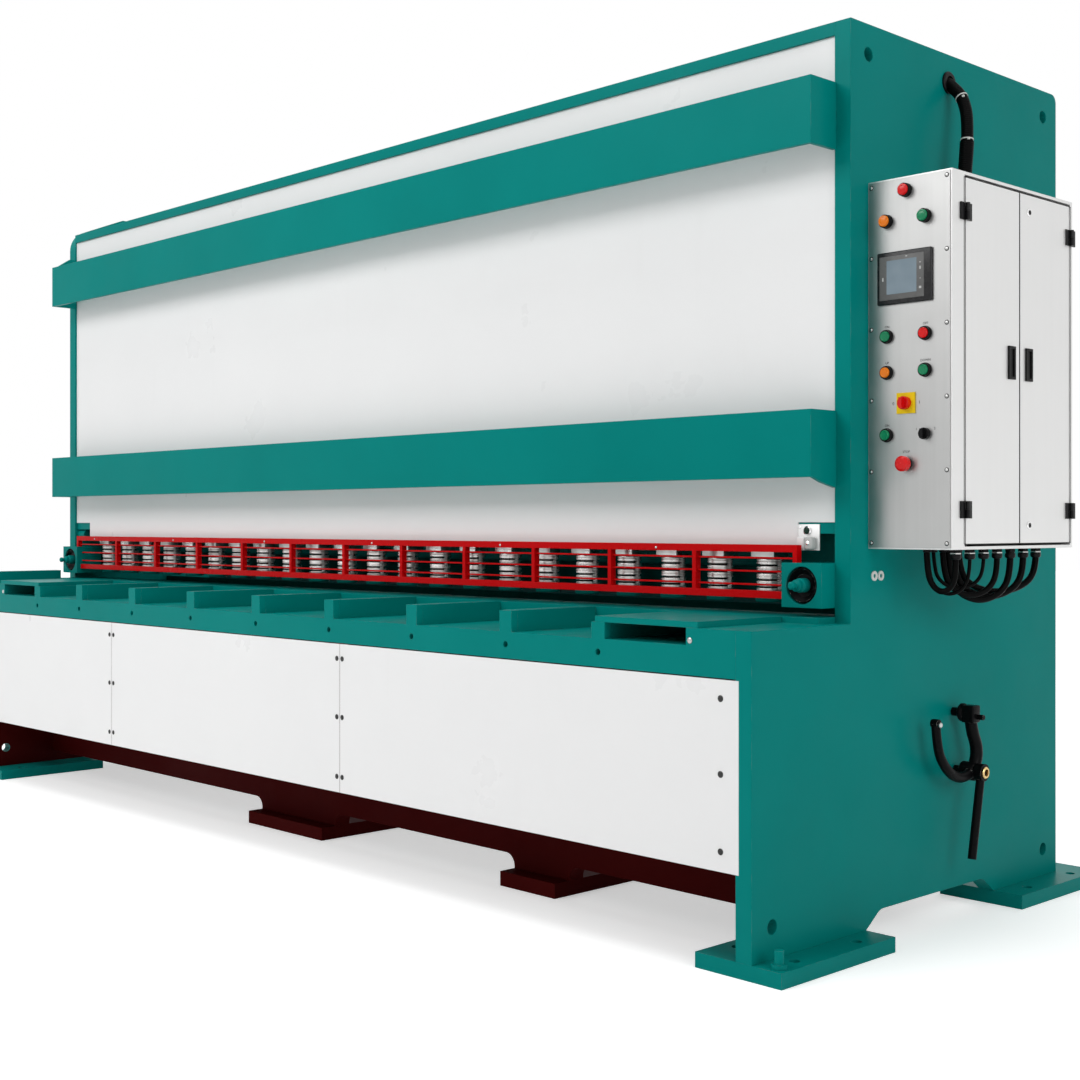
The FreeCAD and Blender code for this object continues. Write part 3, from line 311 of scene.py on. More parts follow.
TEAL = (0.0, 0.215, 0.196)
TEAL_DARK = (0.0, 0.15, 0.136)
TEAL_PALE = (0.004, 0.262, 0.238)
WHITE = (0.84, 0.84, 0.84)
OXIDE = (0.06, 0.003, 0.003)
RED = (0.6, 0.0, 0.002)
BARE_STEEL = (0.36, 0.35, 0.34)
BLACK = (0.003, 0.003, 0.0035)


def enamel(name, colour, shade, light, rough=0.34, gloss=0.035, chip=BARE_STEEL, chip_amount=0.4):
    """Sprayed machine enamel over plate, left open for more: orange peel, cloudy sheen, worn edges."""
    paint = Finish(name, colour, rough, gloss=gloss, round_over=0.0025)
    paint.mottle(shade, 1.3, 0.35)
    paint.mottle(light, 4.5, 0.16, detail=6)
    paint.wear(light, amount=0.6, scale=5, reach=0.02)
    paint.wear(chip, amount=chip_amount, scale=24, reach=0.06)
    paint.relief(paint.noise(420, detail=2), 0.0001)
    paint.relief(paint.noise(9, detail=3), 0.0006)
    paint.uneven(paint.noise(3.0, detail=5), rough - 0.06, rough + 0.1)
    return paint


def teal():
    """The machine's main colour."""
    return enamel("teal_enamel", TEAL, TEAL_DARK, TEAL_PALE).done()


def cheek_paint(name, inward):
    """Teal outside, dark red oxide on the inner face below the table."""
    paint = enamel(name, TEAL, TEAL_DARK, TEAL_PALE)
    below = paint.math("LESS_THAN", paint.along("Z"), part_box("table_apron")[0].z)
    inner = paint.math("GREATER_THAN", paint.math("MULTIPLY", paint.facing("X"), inward), 0.5)
    paint.tint(paint.math("MULTIPLY", below, inner), OXIDE)
    return paint.done()


def table_teal():
    """Teal on the working surfaces, rubbed brown where sheets slide."""
    paint = enamel("table_enamel", TEAL, TEAL_DARK, TEAL_PALE)
    rub = paint.noise(7, detail=8, stretch=(0.5, 1.6, 1))
    up = paint.ramp(paint.facing("Z"), 0.7, 0.95)
    paint.tint(paint.math("MULTIPLY", paint.ramp(rub, 0.56, 0.75, 0, 0.5), up), (0.08, 0.09, 0.075))
    return paint.done()


def white_enamel():
    """White enamel with faint dirty streaks that run down."""
    paint = enamel("white_enamel", WHITE, (0.79, 0.79, 0.795), (0.87, 0.87, 0.87), rough=0.32,
                   gloss=0.3, chip=(0.5, 0.5, 0.5), chip_amount=0.3)
    streak = paint.noise(5, detail=6, stretch=(3, 3, 0.35))
    paint.tint(paint.ramp(streak, 0.62, 0.85, 0, 0.06), (0.55, 0.54, 0.5))
    return paint.done()


def oxide():
    """Dark red oxide primer on the beam and feet under the table."""
    paint = enamel("oxide_primer", OXIDE, (0.035, 0.002, 0.002), (0.1, 0.008, 0.006), rough=0.6,
                   gloss=0.02, chip=(0.09, 0.03, 0.02))
    paint.relief(paint.noise(120, detail=6), 0.0003)
    return paint.done()


def signal_red():
    """Bright red of the finger guard."""
    return enamel("signal_red", RED, (0.46, 0.0, 0.001), (0.7, 0.004, 0.004), rough=0.28,
                  gloss=0.06, chip=(0.25, 0.02, 0.015)).done()


def brushed_steel(name, colour, rough, stretch):
    """Sheet with a fine brushed grain along one direction."""
    metal = Finish(name, colour, rough, metal=0.9, round_over=0.0012)
    grain = metal.noise(60, detail=3, stretch=stretch)
    metal.tint(metal.ramp(grain, 0.3, 0.7, 0, 0.25), tuple(c * 0.8 for c in colour))
    metal.mottle(tuple(min(c * 1.15, 1) for c in colour), 2.2, 0.4)
    smear = metal.noise(6, detail=6)
    metal.tint(metal.ramp(smear, 0.6, 0.85, 0, 0.12), tuple(c * 0.7 for c in colour))
    metal.relief(grain, 0.00003)
    metal.uneven(metal.noise(5, detail=4), rough - 0.06, rough + 0.08)
    return metal.done()


KNUCKLE_START = CABINET[1].x + 0.0006


def cabinet_sheet(name, knuckles=False):
    """Pale satin sheet of the cabinet, with black knuckles where a door's hinges stand proud."""
    metal = Finish(name, (0.76, 0.76, 0.755), 0.42, metal=0.6, round_over=0.0015)
    metal.mottle((0.74, 0.74, 0.735), 1.6, 0.5)
    grain = metal.noise(50, detail=3, stretch=(1, 1, 0.03))
    metal.tint(metal.ramp(grain, 0.35, 0.7, 0, 0.1), (0.66, 0.66, 0.65))
    metal.relief(grain, 0.00003)
    metal.uneven(metal.noise(4, detail=4), 0.34, 0.5)
    if knuckles:
        metal.tint(metal.math("GREATER_THAN", metal.along("X"), KNUCKLE_START), BLACK)
    return metal.done()


def turned_steel():
    """Bright lathe-turned steel with fine rings and a film of oil."""
    metal = Finish("turned_steel", (0.86, 0.85, 0.84), 0.24, metal=0.72)
    rings = metal.noise(9, detail=2, stretch=(0.1, 0.1, 16))
    metal.tint(metal.ramp(rings, 0.45, 0.66, 0, 0.7), (0.3, 0.28, 0.26))
    metal.tint(metal.ramp(metal.noise(14, detail=3), 0.62, 0.8, 0, 0.4), (0.16, 0.13, 0.11))
    metal.relief(rings, 0.0001)
    metal.uneven(metal.noise(12, detail=2), 0.18, 0.36)
    return metal.done()


def ground_steel(name, colour, rough):
    """Ground or plated steel with cloudy patches."""
    metal = Finish(name, colour, rough, metal=1.0, round_over=0.0006)
    metal.mottle(tuple(c * 0.6 for c in colour), 8, 0.6, detail=6)
    metal.relief(metal.noise(300, detail=2), 0.00003)
    metal.uneven(metal.noise(12, detail=5), rough - 0.1, rough + 0.12)
    return metal.done()


def blade_painted_shade_reflection():
    """Dark oiled tool steel, coloured dark teal as painted shade and a painted reflection of the teal
    machine round it.
    """
    # The dark teal colour is painted shade and a painted reflection of the teal machine round the blades,
    # not the steel's own colour.
    metal = Finish("blade_painted_shade_reflection", (0.002, 0.07, 0.064), 0.6, gloss=0.02, round_over=0.001)
    metal.mottle((0.002, 0.03, 0.028), 6, 0.6, detail=6)
    metal.relief(metal.noise(200, detail=3), 0.00003)
    metal.uneven(metal.noise(12, detail=5), 0.5, 0.75)
    return metal.done()


def black_iron():
    """Black enamel on castings, chipped to pale primer at the edges."""
    paint = Finish("black_iron", BLACK, 0.24, gloss=0.05, round_over=0.0016)
    paint.mottle((0.006, 0.006, 0.006), 20, 0.5, detail=6)
    paint.wear((0.55, 0.54, 0.5), amount=0.7, scale=60, reach=0.03)
    paint.relief(paint.noise(90, detail=5), 0.0003)
    paint.uneven(paint.noise(30, detail=4), 0.22, 0.42)
    return paint.done()


def plastic(name, colour, rough=0.35, gloss=0.12):
    """Moulded plastic with a fine grain and slight colour drift."""
    item = Finish(name, colour, rough, gloss=gloss, round_over=0.0008)
    item.mottle(tuple(c * 0.7 for c in colour), 40, 0.35)
    item.relief(item.noise(900, detail=2), 0.00004)
    item.uneven(item.noise(60, detail=3), rough - 0.06, rough + 0.1)
    return item.done()


def sheath():
    """Black cable sheath, slightly dusty."""
    item = Finish("cable_sheath", (0.002, 0.002, 0.002), 0.34, gloss=0.03)
    item.mottle((0.006, 0.006, 0.006), 18, 0.4, detail=6)
    item.relief(item.noise(500, detail=2), 0.00004)
    item.uneven(item.noise(40, detail=3), 0.28, 0.46)
    return item.done()


def corrugated_sheath():
    """Ribbed black conduit."""
    item = Finish("corrugated_sheath", (0.002, 0.002, 0.002), 0.3, gloss=0.03)
    item.mottle((0.006, 0.006, 0.006), 30, 0.5, detail=5)
    item.relief(item.noise(400, detail=2), 0.00005)
    item.uneven(item.noise(60, detail=3), 0.28, 0.45)
    return item.done()


def chrome():
    """Bright plated rings and rims."""
    metal = Finish("chrome", (0.8, 0.8, 0.8), 0.12, metal=1.0)
    metal.mottle((0.55, 0.55, 0.55), 80, 0.3)
    metal.uneven(metal.noise(50, detail=3), 0.08, 0.22)
    return metal.done()


def brass():
    """The ring on the lever's pin."""
    metal = Finish("brass", (0.7, 0.5, 0.22), 0.25, metal=1.0)
    metal.mottle((0.4, 0.27, 0.12), 90, 0.5)
    metal.uneven(metal.noise(50, detail=3), 0.18, 0.38)
    return metal.done()


def display_glass():
    """Pale grey-blue display behind glass, with darker and paler patches and a faint glow."""
    item = Finish("display_glass", (0.16, 0.21, 0.25), 0.1, gloss=0.3)
    item.mottle((0.11, 0.155, 0.19), 9, 0.8)
    item.mottle((0.24, 0.3, 0.34), 16, 0.4, detail=1)
    item.set("Emission Color", (0.3, 0.38, 0.43, 1))
    item.set("Emission Strength", 0.1)
    return item.done()


FINISHES = {
    "teal": teal(),
    "cheek_right": cheek_paint("cheek_right_enamel", -1),
    "cheek_left": cheek_paint("cheek_left_enamel", 1),
    "table": table_teal(),
    "white": white_enamel(),
    "oxide": oxide(),
    "red": signal_red(),
    "panel": brushed_steel("panel_steel", (0.4, 0.4, 0.396), 0.36, (1, 1, 0.02)),
    "cabinet": cabinet_sheet("cabinet_sheet"),
    "door": cabinet_sheet("door_sheet", knuckles=True),
    "turned": turned_steel(),
    # Blades: dark teal painted shade and painted reflection.
    "blade": blade_painted_shade_reflection(),
    "machine_grey": enamel("machine_grey", (0.16, 0.18, 0.19), (0.1, 0.11, 0.12),
                           (0.24, 0.26, 0.27)).done(),
    "iron": black_iron(),
    "black": plastic("black_plastic", BLACK),
    "bezel": plastic("bezel_plastic", (0.012, 0.012, 0.013), rough=0.25, gloss=0.25),
    "frame_grey": plastic("frame_grey", (0.14, 0.14, 0.138), rough=0.3),
    "ink": plastic("printed_ink", (0.02, 0.02, 0.02), rough=0.6),
    "sheath": sheath(),
    "conduit": corrugated_sheath(),
    "chrome": chrome(),
    "brass": brass(),
    "block": ground_steel("block_steel", (0.62, 0.62, 0.61), 0.28),
    "screw": ground_steel("zinc_screw", (0.5, 0.5, 0.49), 0.3),
    "dark_screw": ground_steel("blackened_screw", (0.05, 0.05, 0.05), 0.4),
    "green_cap": plastic("green_cap", (0.0, 0.21, 0.085), 0.2, gloss=0.3),
    "red_cap": plastic("red_cap", (0.68, 0.003, 0.004), 0.2, gloss=0.3),
    "orange_cap": plastic("orange_cap", (0.82, 0.2, 0.005), 0.2, gloss=0.3),
    "yellow": plastic("yellow_plate", (0.86, 0.6, 0.01), 0.3),
    "tie": plastic("cable_tie", (0.75, 0.75, 0.72), 0.4),
    "grey": plastic("pale_grey_plastic", (0.55, 0.55, 0.54), 0.35),
    "lens": plastic("dark_lens", (0.004, 0.03, 0.018), 0.06),
    "display": display_glass(),
}

FINISHED_NODES = {
    "cheek_right": ["side_frame_right"],
    "cheek_left": ["side_frame_left"],
    "teal": ["foot_plates", "levelling_screws", "table_apron", "side_gauge", "top_plate", "upper_rail",
             "lower_rail", "knife_beam", "hold_down_pads", "hold_down_shelf", "end_housings", "rear_beams"],
    "table": ["table_ribs", "table_floor", "table_bolster", "end_plates"],
    "white": ["front_covers", "front_plate"],
    "oxide": ["bed_beam", "bed_feet", "cover_posts"],
    "blade": ["shear_blades"],
    "turned": ["hold_down_barrels", "ram_rods"],
    "red": ["finger_guard"],
    "iron": ["gap_dials", "lever_bracket", "gap_lever"],
    "grey": ["sensor_bracket", "mounting_plate"],
    "cabinet": ["cabinet_shell"],
    "door": ["cabinet_door_front", "cabinet_door_rear"],
    "panel": ["control_panel"],
    "bezel": ["screen"],
    "black": ["door_handle_front", "door_handle_rear", "door_hinges", "button_collars", "selector_switch",
              "conduit_glands", "cable_glands"],
    "red_cap": ["pilot_lamps", "red_button", "stop_button", "main_switch"],
    "green_cap": ["green_button_upper", "green_button_middle", "green_button_lower"],
    "orange_cap": ["orange_button"],
    "yellow": ["switch_plate"],
    "conduit": ["conduit"],
    "sheath": ["hanging_cables"],
    "machine_grey": ["ram_cylinders", "oil_tank", "pump_motor", "back_gauge_slides", "back_gauge_bar"],
}


def paint_nodes():
    """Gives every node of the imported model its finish."""
    for finish, names in FINISHED_NODES.items():
        for name in names:
            slots = nodes[name].data.materials
            if not slots:
                slots.append(FINISHES[finish])
            for index in range(len(slots)):
                slots[index] = FINISHES[finish]


# Mesh helpers

SHARP = math.radians(35)


def mesh_object(name, bm, finish):
    """Turns a bmesh into an object, smooth except at its sharp edges."""
    bmesh.ops.recalc_face_normals(bm, faces=bm.faces)
    for edge in bm.edges:
        edge.smooth = edge.calc_face_angle(0) < SHARP
    for face in bm.faces:
        face.smooth = True
    data = bpy.data.meshes.new(name)
    bm.to_mesh(data)
    bm.free()
    item = placed(name, data)
    if finish:
        data.materials.append(FINISHES[finish])
    return item


AXES = {
    "up": Matrix.Identity(4),
    "out": Matrix.Rotation(math.radians(90), 4, "X"),
    "side": Matrix.Rotation(math.radians(90), 4, "Y"),
    "down": Matrix.Rotation(math.radians(180), 4, "X"),
}


def lathe(bm, profile, place, axis="up", segments=32):
    """Spins a profile of (radius, height) in metres about an axis at a place."""
    turn = Matrix.Translation(place) @ AXES[axis]
    rings = []
    for radius, height in profile:
        if radius == 0:
            rings.append([bm.verts.new(turn @ Vector((0, 0, height)))])
            continue
        rings.append([
            bm.verts.new(turn @ Vector((
                radius * math.cos(math.tau * step / segments),
                radius * math.sin(math.tau * step / segments),
                height,
            )))
            for step in range(segments)
        ])
    for lower, upper in zip(rings, rings[1:]):
        for step in range(segments):
            after = (step + 1) % segments
            if len(lower) == 1:
                bm.faces.new((lower[0], upper[after], upper[step]))
            elif len(upper) == 1:
                bm.faces.new((lower[step], lower[after], upper[0]))
            else:
                bm.faces.new((lower[step], lower[after], upper[after], upper[step]))


def block(bm, low, high, bevel=0.001, segments=2):
    """A box between two corners with softened edges."""
    low, high = Vector(low), Vector(high)
    made = bmesh.ops.create_cube(bm, size=1)
    for vert in made["verts"]:
        vert.co = Vector(((low[i] + high[i]) / 2 + vert.co[i] * (high[i] - low[i]) for i in range(3)))
    if bevel:
        edges = list({edge for vert in made["verts"] for edge in vert.link_edges})
        bmesh.ops.bevel(bm, geom=edges, offset=bevel, segments=segments, affect="EDGES", profile=0.5)


def tube(bm, points, radii, sides):
    """A closed round tube along points, with a radius for each, its rings turned with the path."""
    side = None
    rings = []
    for number, (point, radius) in enumerate(zip(points, radii)):
        ahead = points[min(number + 1, len(points) - 1)]
        behind = points[max(number - 1, 0)]
        along = (ahead - behind).normalized()
        if side is None:
            side = along.orthogonal().normalized()
        side = (side - along * side.dot(along)).normalized()
        other = along.cross(side)
        rings.append([
            bm.verts.new(point + (side * math.cos(math.tau * k / sides)
                                  + other * math.sin(math.tau * k / sides)) * radius)
            for k in range(sides)
        ])
    for lower, upper in zip(rings, rings[1:]):
        for k in range(sides):
            after = (k + 1) % sides
            bm.faces.new((lower[k], lower[after], upper[after], upper[k]))
    bm.faces.new(rings[0])
    bm.faces.new(list(reversed(rings[-1])))


def dome_head(bm, place, axis, radius, height):
    """A low domed screw head."""
    lathe(bm, [
        (radius * 0.98, 0),
        (radius, height * 0.35),
        (radius * 0.8, height * 0.8),
        (radius * 0.4, height),
        (0, height),
    ], place, axis, 16)


def piece(name, bm, finish, body="machine", replaced=()):
    """A finished extra piece: its material, its body."""
    item = mesh_object(name, bm, finish)
    if replaced:
        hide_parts(*replaced)
    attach(item, body)
    return item


# Hold-downs

HOLD_DOWNS = 22
RINGS = 5
RING_PITCH = 0.02
RING_FOOT = 0.0015
RING_RADIUS = 0.0365
RING_ROOT = 0.026
RING_HEIGHT = 0.0147
RING_LIP = 0.0022
GROOVE_DEPTH = 0.0018
NECK_RADIUS = 0.018
CORE_RADIUS = 0.028
CORE_HEIGHT = 0.1
HEAD_HALF = 0.04
PAD_RADIUS = 0.039
PAD_THICK = 0.018
PAD_EDGE = 0.0025


def hold_down_centres():
    """The middles of the hold-downs, evenly spread between the outermost pads."""
    low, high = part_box("hold_down_pads")
    reach = (high.y - low.y) / 2
    pitch = (high.x - low.x - 2 * reach) / (HOLD_DOWNS - 1)
    return [Vector((high.x - reach - pitch * number, low.y + reach, 0)) for number in range(HOLD_DOWNS)]


def ring_profile(foot):
    """One turned ring with a rounded rim and a groove round it, from its foot up."""
    lip = RING_RADIUS - RING_LIP
    groove = RING_RADIUS - GROOVE_DEPTH
    outline = (
        (RING_ROOT, 0), (lip, 0), (RING_RADIUS, RING_LIP), (RING_RADIUS, 0.0055), (groove, 0.0066),
        (groove, 0.0078), (RING_RADIUS, 0.009), (RING_RADIUS, RING_HEIGHT - RING_LIP),
        (lip, RING_HEIGHT), (RING_ROOT, RING_HEIGHT),
    )
    return [(radius, foot + height) for radius, height in outline]


def hold_downs():
    """Ringed barrels under square heads, each with a spring beside it, and the round pads that move."""
    low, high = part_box("hold_down_barrels")
    pad_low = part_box("hold_down_pads")[0].z
    barrels, cores, blocks, pads, springs = (bmesh.new() for _ in range(5))
    for spot in hold_down_centres():
        foot = spot + Vector((0, 0, low.z))
        for number in range(RINGS):
            lathe(barrels, ring_profile(RING_PITCH * number + RING_FOOT), foot, segments=36)
        lathe(cores, [
            (NECK_RADIUS, -0.003), (NECK_RADIUS, 0), (CORE_RADIUS, 0), (CORE_RADIUS, CORE_HEIGHT),
        ], foot, segments=28)
        block(blocks, (spot.x - HEAD_HALF, low.y, low.z + CORE_HEIGHT), (spot.x + HEAD_HALF, high.y, high.z),
              0.0025)
        rest = spot + Vector((0, 0, pad_low))
        lathe(pads, [
            (0, PAD_THICK), (PAD_RADIUS - PAD_EDGE, PAD_THICK), (PAD_RADIUS, PAD_THICK - PAD_EDGE),
            (PAD_RADIUS, PAD_EDGE), (PAD_RADIUS - PAD_EDGE, 0), (0, 0),
        ], rest)
        lathe(pads, [
            (NECK_RADIUS, PAD_THICK), (NECK_RADIUS, PAD_THICK + 0.006), (0, PAD_THICK + 0.006),
        ], rest, segments=20)
        coil_spring(springs, foot + Vector((0.044, -0.012, 0.004)), radius=0.0065, height=0.096,
                    turns=17, wire=0.0011)
    piece("hold_down_rings", barrels, "turned", replaced=("hold_down_barrels",))
    piece("hold_down_cores", cores, "iron")
    piece("hold_down_blocks", blocks, "block")
    piece("hold_down_springs", springs, "screw")
    piece("hold_down_discs", pads, "teal", "hold_down_set", ("hold_down_pads",))


def coil_spring(bm, foot, radius, height, turns, wire):
    """A thin tension spring between a hook at its foot and one at its top."""
    steps = 10
    hook = 0.006
    points = [foot]
    for step in range(turns * steps + 1):
        angle = math.tau * step / steps
        points.append(foot + Vector((
            radius * math.cos(angle), radius * math.sin(angle),
            hook + (height - 2 * hook) * step / (turns * steps),
        )))
    points.append(foot + Vector((0, 0, height)))
    tube(bm, points, [wire] * len(points), 5)


# Covers, screws, dials and sensor

BOLT_HEAD = 0.0026
COVER_BOLT_COLUMNS = (-97, -1655, -1683, -3136, -3166, -4207)
COVER_BOLT_ROWS = (680, 493, 302)
TABLE_SCREW_COLUMNS = (-197, -4103)
PANEL_SCREW_ROWS = 6


def cover_panels():
    """The front covers, set back by a bolt head's height so that the heads end in the front plane."""
    source = nodes["front_covers"]
    bm = bmesh.new()
    bm.from_mesh(source.data)
    bm.transform(source.matrix_world)
    front_plane = COVER_FACE + 0.0005
    for vert in bm.verts:
        if vert.co.y < front_plane:
            vert.co.y += BOLT_HEAD
    piece("cover_panels", bm, "white", replaced=("front_covers",))


def screws():
    """Bolt heads on the covers, screws in dark rings on the operator's panel, screws on the apron."""
    bolts, panel, table = (bmesh.new() for _ in range(3))
    cover_seat = (COVER_FACE + BOLT_HEAD - FRONT) * 1000
    for x in COVER_BOLT_COLUMNS:
        for z in COVER_BOLT_ROWS:
            dome_head(bolts, at(x, cover_seat, z), "out", 0.0085, BOLT_HEAD)
    low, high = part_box("control_panel")
    inset = 0.012
    for x in (low.x + 0.007, high.x - 0.009):
        for row in range(PANEL_SCREW_ROWS):
            z = low.z + inset + (high.z - low.z - 2 * inset) * row / (PANEL_SCREW_ROWS - 1)
            dome_head(bolts, Vector((x, PANEL_FACE, z)), "out", 0.0064, 0.0008)
            dome_head(panel, Vector((x, PANEL_FACE - 0.0006, z)), "out", 0.0042, 0.0024)
    for x in TABLE_SCREW_COLUMNS:
        dome_head(table, at(x, 0, 818), "out", 0.008, 0.003)
    piece("cover_bolts", bolts, "dark_screw")
    piece("panel_screws", panel, "screw")
    piece("table_screws", table, "screw")


DIAL_RADIUS = 0.047


def end_dials():
    """A dished black dial with a teal hub in each end housing."""
    dishes, hubs = bmesh.new(), bmesh.new()
    low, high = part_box("gap_dials")
    for x in (low.x + DIAL_RADIUS, high.x - DIAL_RADIUS):
        seat = Vector((x, high.y, (low.z + high.z) / 2))
        lathe(dishes, [
            (DIAL_RADIUS, 0), (DIAL_RADIUS, 0.017), (0.0435, 0.02), (0.040, 0.017), (0.030, 0.008),
            (0.012, 0.006), (0, 0.006),
        ], seat, "out", 40)
        lathe(hubs, [
            (0.019, 0.004), (0.019, 0.03), (0.016, 0.033), (0.016, 0.046), (0.008, 0.049),
            (0.008, 0.058), (0.0105, 0.06), (0.0105, 0.067), (0.007, 0.07), (0, 0.07),
        ], seat, "out", 24)
    piece("dial_dishes", dishes, "iron", replaced=("gap_dials",))
    piece("dial_hubs", hubs, "teal")


def guard_sensor():
    """Plate, lens, white block and rounded housing in the panel's notch."""
    low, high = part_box("sensor_bracket")
    plate, lens, rim, blocks, housing = (bmesh.new() for _ in range(5))
    face = high.y - 0.004
    block(plate, (low.x, face, low.z), (high.x, high.y, high.z), 0.0008)
    centre = Vector((low.x + 0.032, face, high.z - 0.017))
    lathe(rim, [(0.0125, 0), (0.0125, 0.004), (0.0098, 0.0055), (0.0095, 0.003)], centre, "out", 28)
    lathe(lens, [(0.0096, 0.002), (0.0085, 0.0052), (0.004, 0.007), (0, 0.0074)], centre, "out", 28)
    block(blocks, (low.x + 0.010, low.y + 0.004, low.z), (low.x + 0.034, face, low.z + 0.036), 0.003, 3)
    block(housing, (low.x + 0.036, low.y, low.z + 0.002), (low.x + 0.062, face, low.z + 0.036), 0.006, 4)
    dome_head(rim, Vector((low.x + 0.006, face, high.z - 0.008)), "out", 0.0035, 0.002)
    dome_head(rim, Vector((low.x + 0.049, low.y, low.z + 0.020)), "out", 0.006, 0.002)
    piece("sensor_plate", plate, "cabinet", replaced=("sensor_bracket",))
    piece("sensor_lens", lens, "lens")
    piece("sensor_rim", rim, "chrome")
    piece("sensor_block", blocks, "white")
    piece("sensor_housing", housing, "grey")


# The operator's panel

# Marks beside the display: how far up the screen as a share, and their width and height
SCREEN_MARKS = ((0.24, 0.007, 0.006), (0.42, 0.002, 0.003), (0.6, 0.004, 0.008), (0.72, 0.004, 0.003))


def screen():
    """Rounded black bezel, dark grey inner frame, grey-blue display and small marks."""
    low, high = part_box("screen")
    bezel, inner, glass, marks = (bmesh.new() for _ in range(4))

    def spot(across, up, depth=0.0):
        """A point at shares of the screen's width and height, at a depth behind its face."""
        return Vector((low.x + across * (high.x - low.x), low.y + depth, low.z + up * (high.z - low.z)))

    proud = 0.0008
    block(bezel, spot(0, 0, 0.001), high, 0.004, 4)
    block(inner, spot(0.055, 0.085, -0.0004), spot(0.87, 0.915, 0.003), 0.0012)
    block(glass, spot(0.19, 0.19, -0.0009), spot(0.74, 0.83, 0.002), 0.0005, 1)
    for up, wide, tall in SCREEN_MARKS:
        foot = spot(0.805, up)
        block(marks, foot - Vector((wide / 2, proud, 0)), foot + Vector((wide / 2, 0, tall)), 0.0002, 1)
    half = Vector((0.002, 0, 0))
    block(marks, spot(0.1225, 0.45, -proud) - half, spot(0.1225, 0.52) + half, 0.0002, 1)
    block(marks, spot(0.54, 0.87, -proud), spot(0.57, 0.89), 0.0002, 1)
    piece("screen_bezel", bezel, "bezel", replaced=("screen",))
    piece("screen_frame", inner, "frame_grey")
    piece("screen_glass", glass, "display")
    piece("screen_marks", marks, "grey")


LAMP_RADIUS = 0.018


def lamps():
    """Three pilot lamps in black collars: red above, orange left, green right."""
    low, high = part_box("pilot_lamps")
    face = low.y
    spots = (
        ("lamp_red", (low.x + high.x) / 2, high.z - LAMP_RADIUS, "red_cap"),
        ("lamp_orange", low.x + LAMP_RADIUS, low.z + LAMP_RADIUS, "orange_cap"),
        ("lamp_green", high.x - LAMP_RADIUS, low.z + LAMP_RADIUS, "green_cap"),
    )
    rims = bmesh.new()
    depth = PANEL_FACE - face + 0.006
    for name, x, z, finish in spots:
        lens = bmesh.new()
        spot = Vector((x, PANEL_FACE, z))
        lathe(lens, [
            (0.0146, depth * 0.6), (0.0146, depth * 0.87), (0.0132, depth * 0.97), (0.0104, depth * 0.98),
            (0.0095, depth * 0.93), (0, depth),
        ], spot, "out", 32)
        lathe(rims, [
            (LAMP_RADIUS, 0), (LAMP_RADIUS, depth * 0.22), (0.0174, depth * 0.26), (0.0174, depth * 0.66),
            (0.0162, depth * 0.7), (0.0146, depth * 0.68), (0.0146, depth * 0.4),
        ], spot, "out", 32)
        piece(name, lens, finish)
    piece("lamp_rims", rims, "black", replaced=("pilot_lamps",))


BUTTONS = (
    ("green_button_upper", "upper_green_cap", "green_cap"), ("red_button", "red_cap", "red_cap"),
    ("orange_button", "orange_cap", "orange_cap"), ("green_button_middle", "middle_green_cap", "green_cap"),
    ("green_button_lower", "lower_green_cap", "green_cap"),
)


def on_panel(node):
    """The point of the operator's panel behind the middle of a node."""
    spot = middle(node)
    return Vector((spot.x, PANEL_FACE, spot.z))


def buttons():
    """Push buttons: a coloured cap with a dished face in a black barrel."""
    collars = bmesh.new()
    for node, body, finish in BUTTONS:
        low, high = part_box(node)
        spot = on_panel(node)
        radius = (high.x - low.x) / 2
        reach = PANEL_FACE - low.y
        cap = bmesh.new()
        lathe(cap, [
            (radius * 0.96, reach * 0.4), (radius * 0.96, reach * 0.86), (radius * 0.86, reach),
            (radius * 0.7, reach), (radius * 0.64, reach * 0.94), (0, reach * 0.92),
        ], spot, "out", 36)
        piece(node + "_cap", cap, finish, body, (node,))
        wide = radius + 0.003
        lathe(collars, [
            (wide + 0.0015, 0), (wide + 0.0015, reach * 0.2), (wide, reach * 0.24), (wide, reach * 0.66),
            (wide - 0.0015, reach * 0.7), (radius, reach * 0.66), (radius, reach * 0.3),
        ], spot, "out", 36)
    lathe(collars, [
        (0.0175, 0), (0.0175, 0.006), (0.0155, 0.007), (0.0155, 0.012), (0.011, 0.012),
    ], on_panel("stop_button"), "out", 36)
    piece("button_barrels", collars, "black", replaced=("button_collars",))


LETTER = 0.009
NUMERAL = 0.012


def panel_lettering():
    """Plain words over the buttons and plain numbers beside the switches."""
    beside = 0.012
    above = 0.011
    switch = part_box("switch_plate")
    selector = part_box("selector_switch")
    level = middle("switch_plate").z
    raised = middle("selector_switch").z + beside
    words = [
        ("0", switch[0].x - beside, level, NUMERAL), ("1", switch[1].x + beside, level, NUMERAL),
        ("1", selector[0].x - beside, raised, LETTER), ("2", selector[1].x + beside, raised, LETTER),
    ]
    for node, word in (
        ("green_button_upper", "ON"), ("red_button", "OFF"), ("orange_button", "UP"),
        ("green_button_middle", "DOWN"), ("green_button_lower", "ON"), ("stop_button", "STOP"),
    ):
        words.append((word, middle(node).x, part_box(node)[1].z + above, LETTER))
    ink = bmesh.new()
    for word, x, z, size in words:
        text = bpy.data.curves.new("word", "FONT")
        text.body = word
        text.size = size
        text.align_x = "CENTER"
        text.align_y = "CENTER"
        text.extrude = 0.0001
        text.resolution_u = 3
        holder = bpy.data.objects.new("word", text)
        mesh = bpy.data.meshes.new_from_object(holder)
        mesh.transform(Matrix.Translation((x, PANEL_FACE - 0.0002, z)) @ AXES["out"])
        ink.from_mesh(mesh)
        bpy.data.meshes.remove(mesh)
        bpy.data.objects.remove(holder)
    piece("panel_lettering", ink, "ink")


# The cabinet's doors

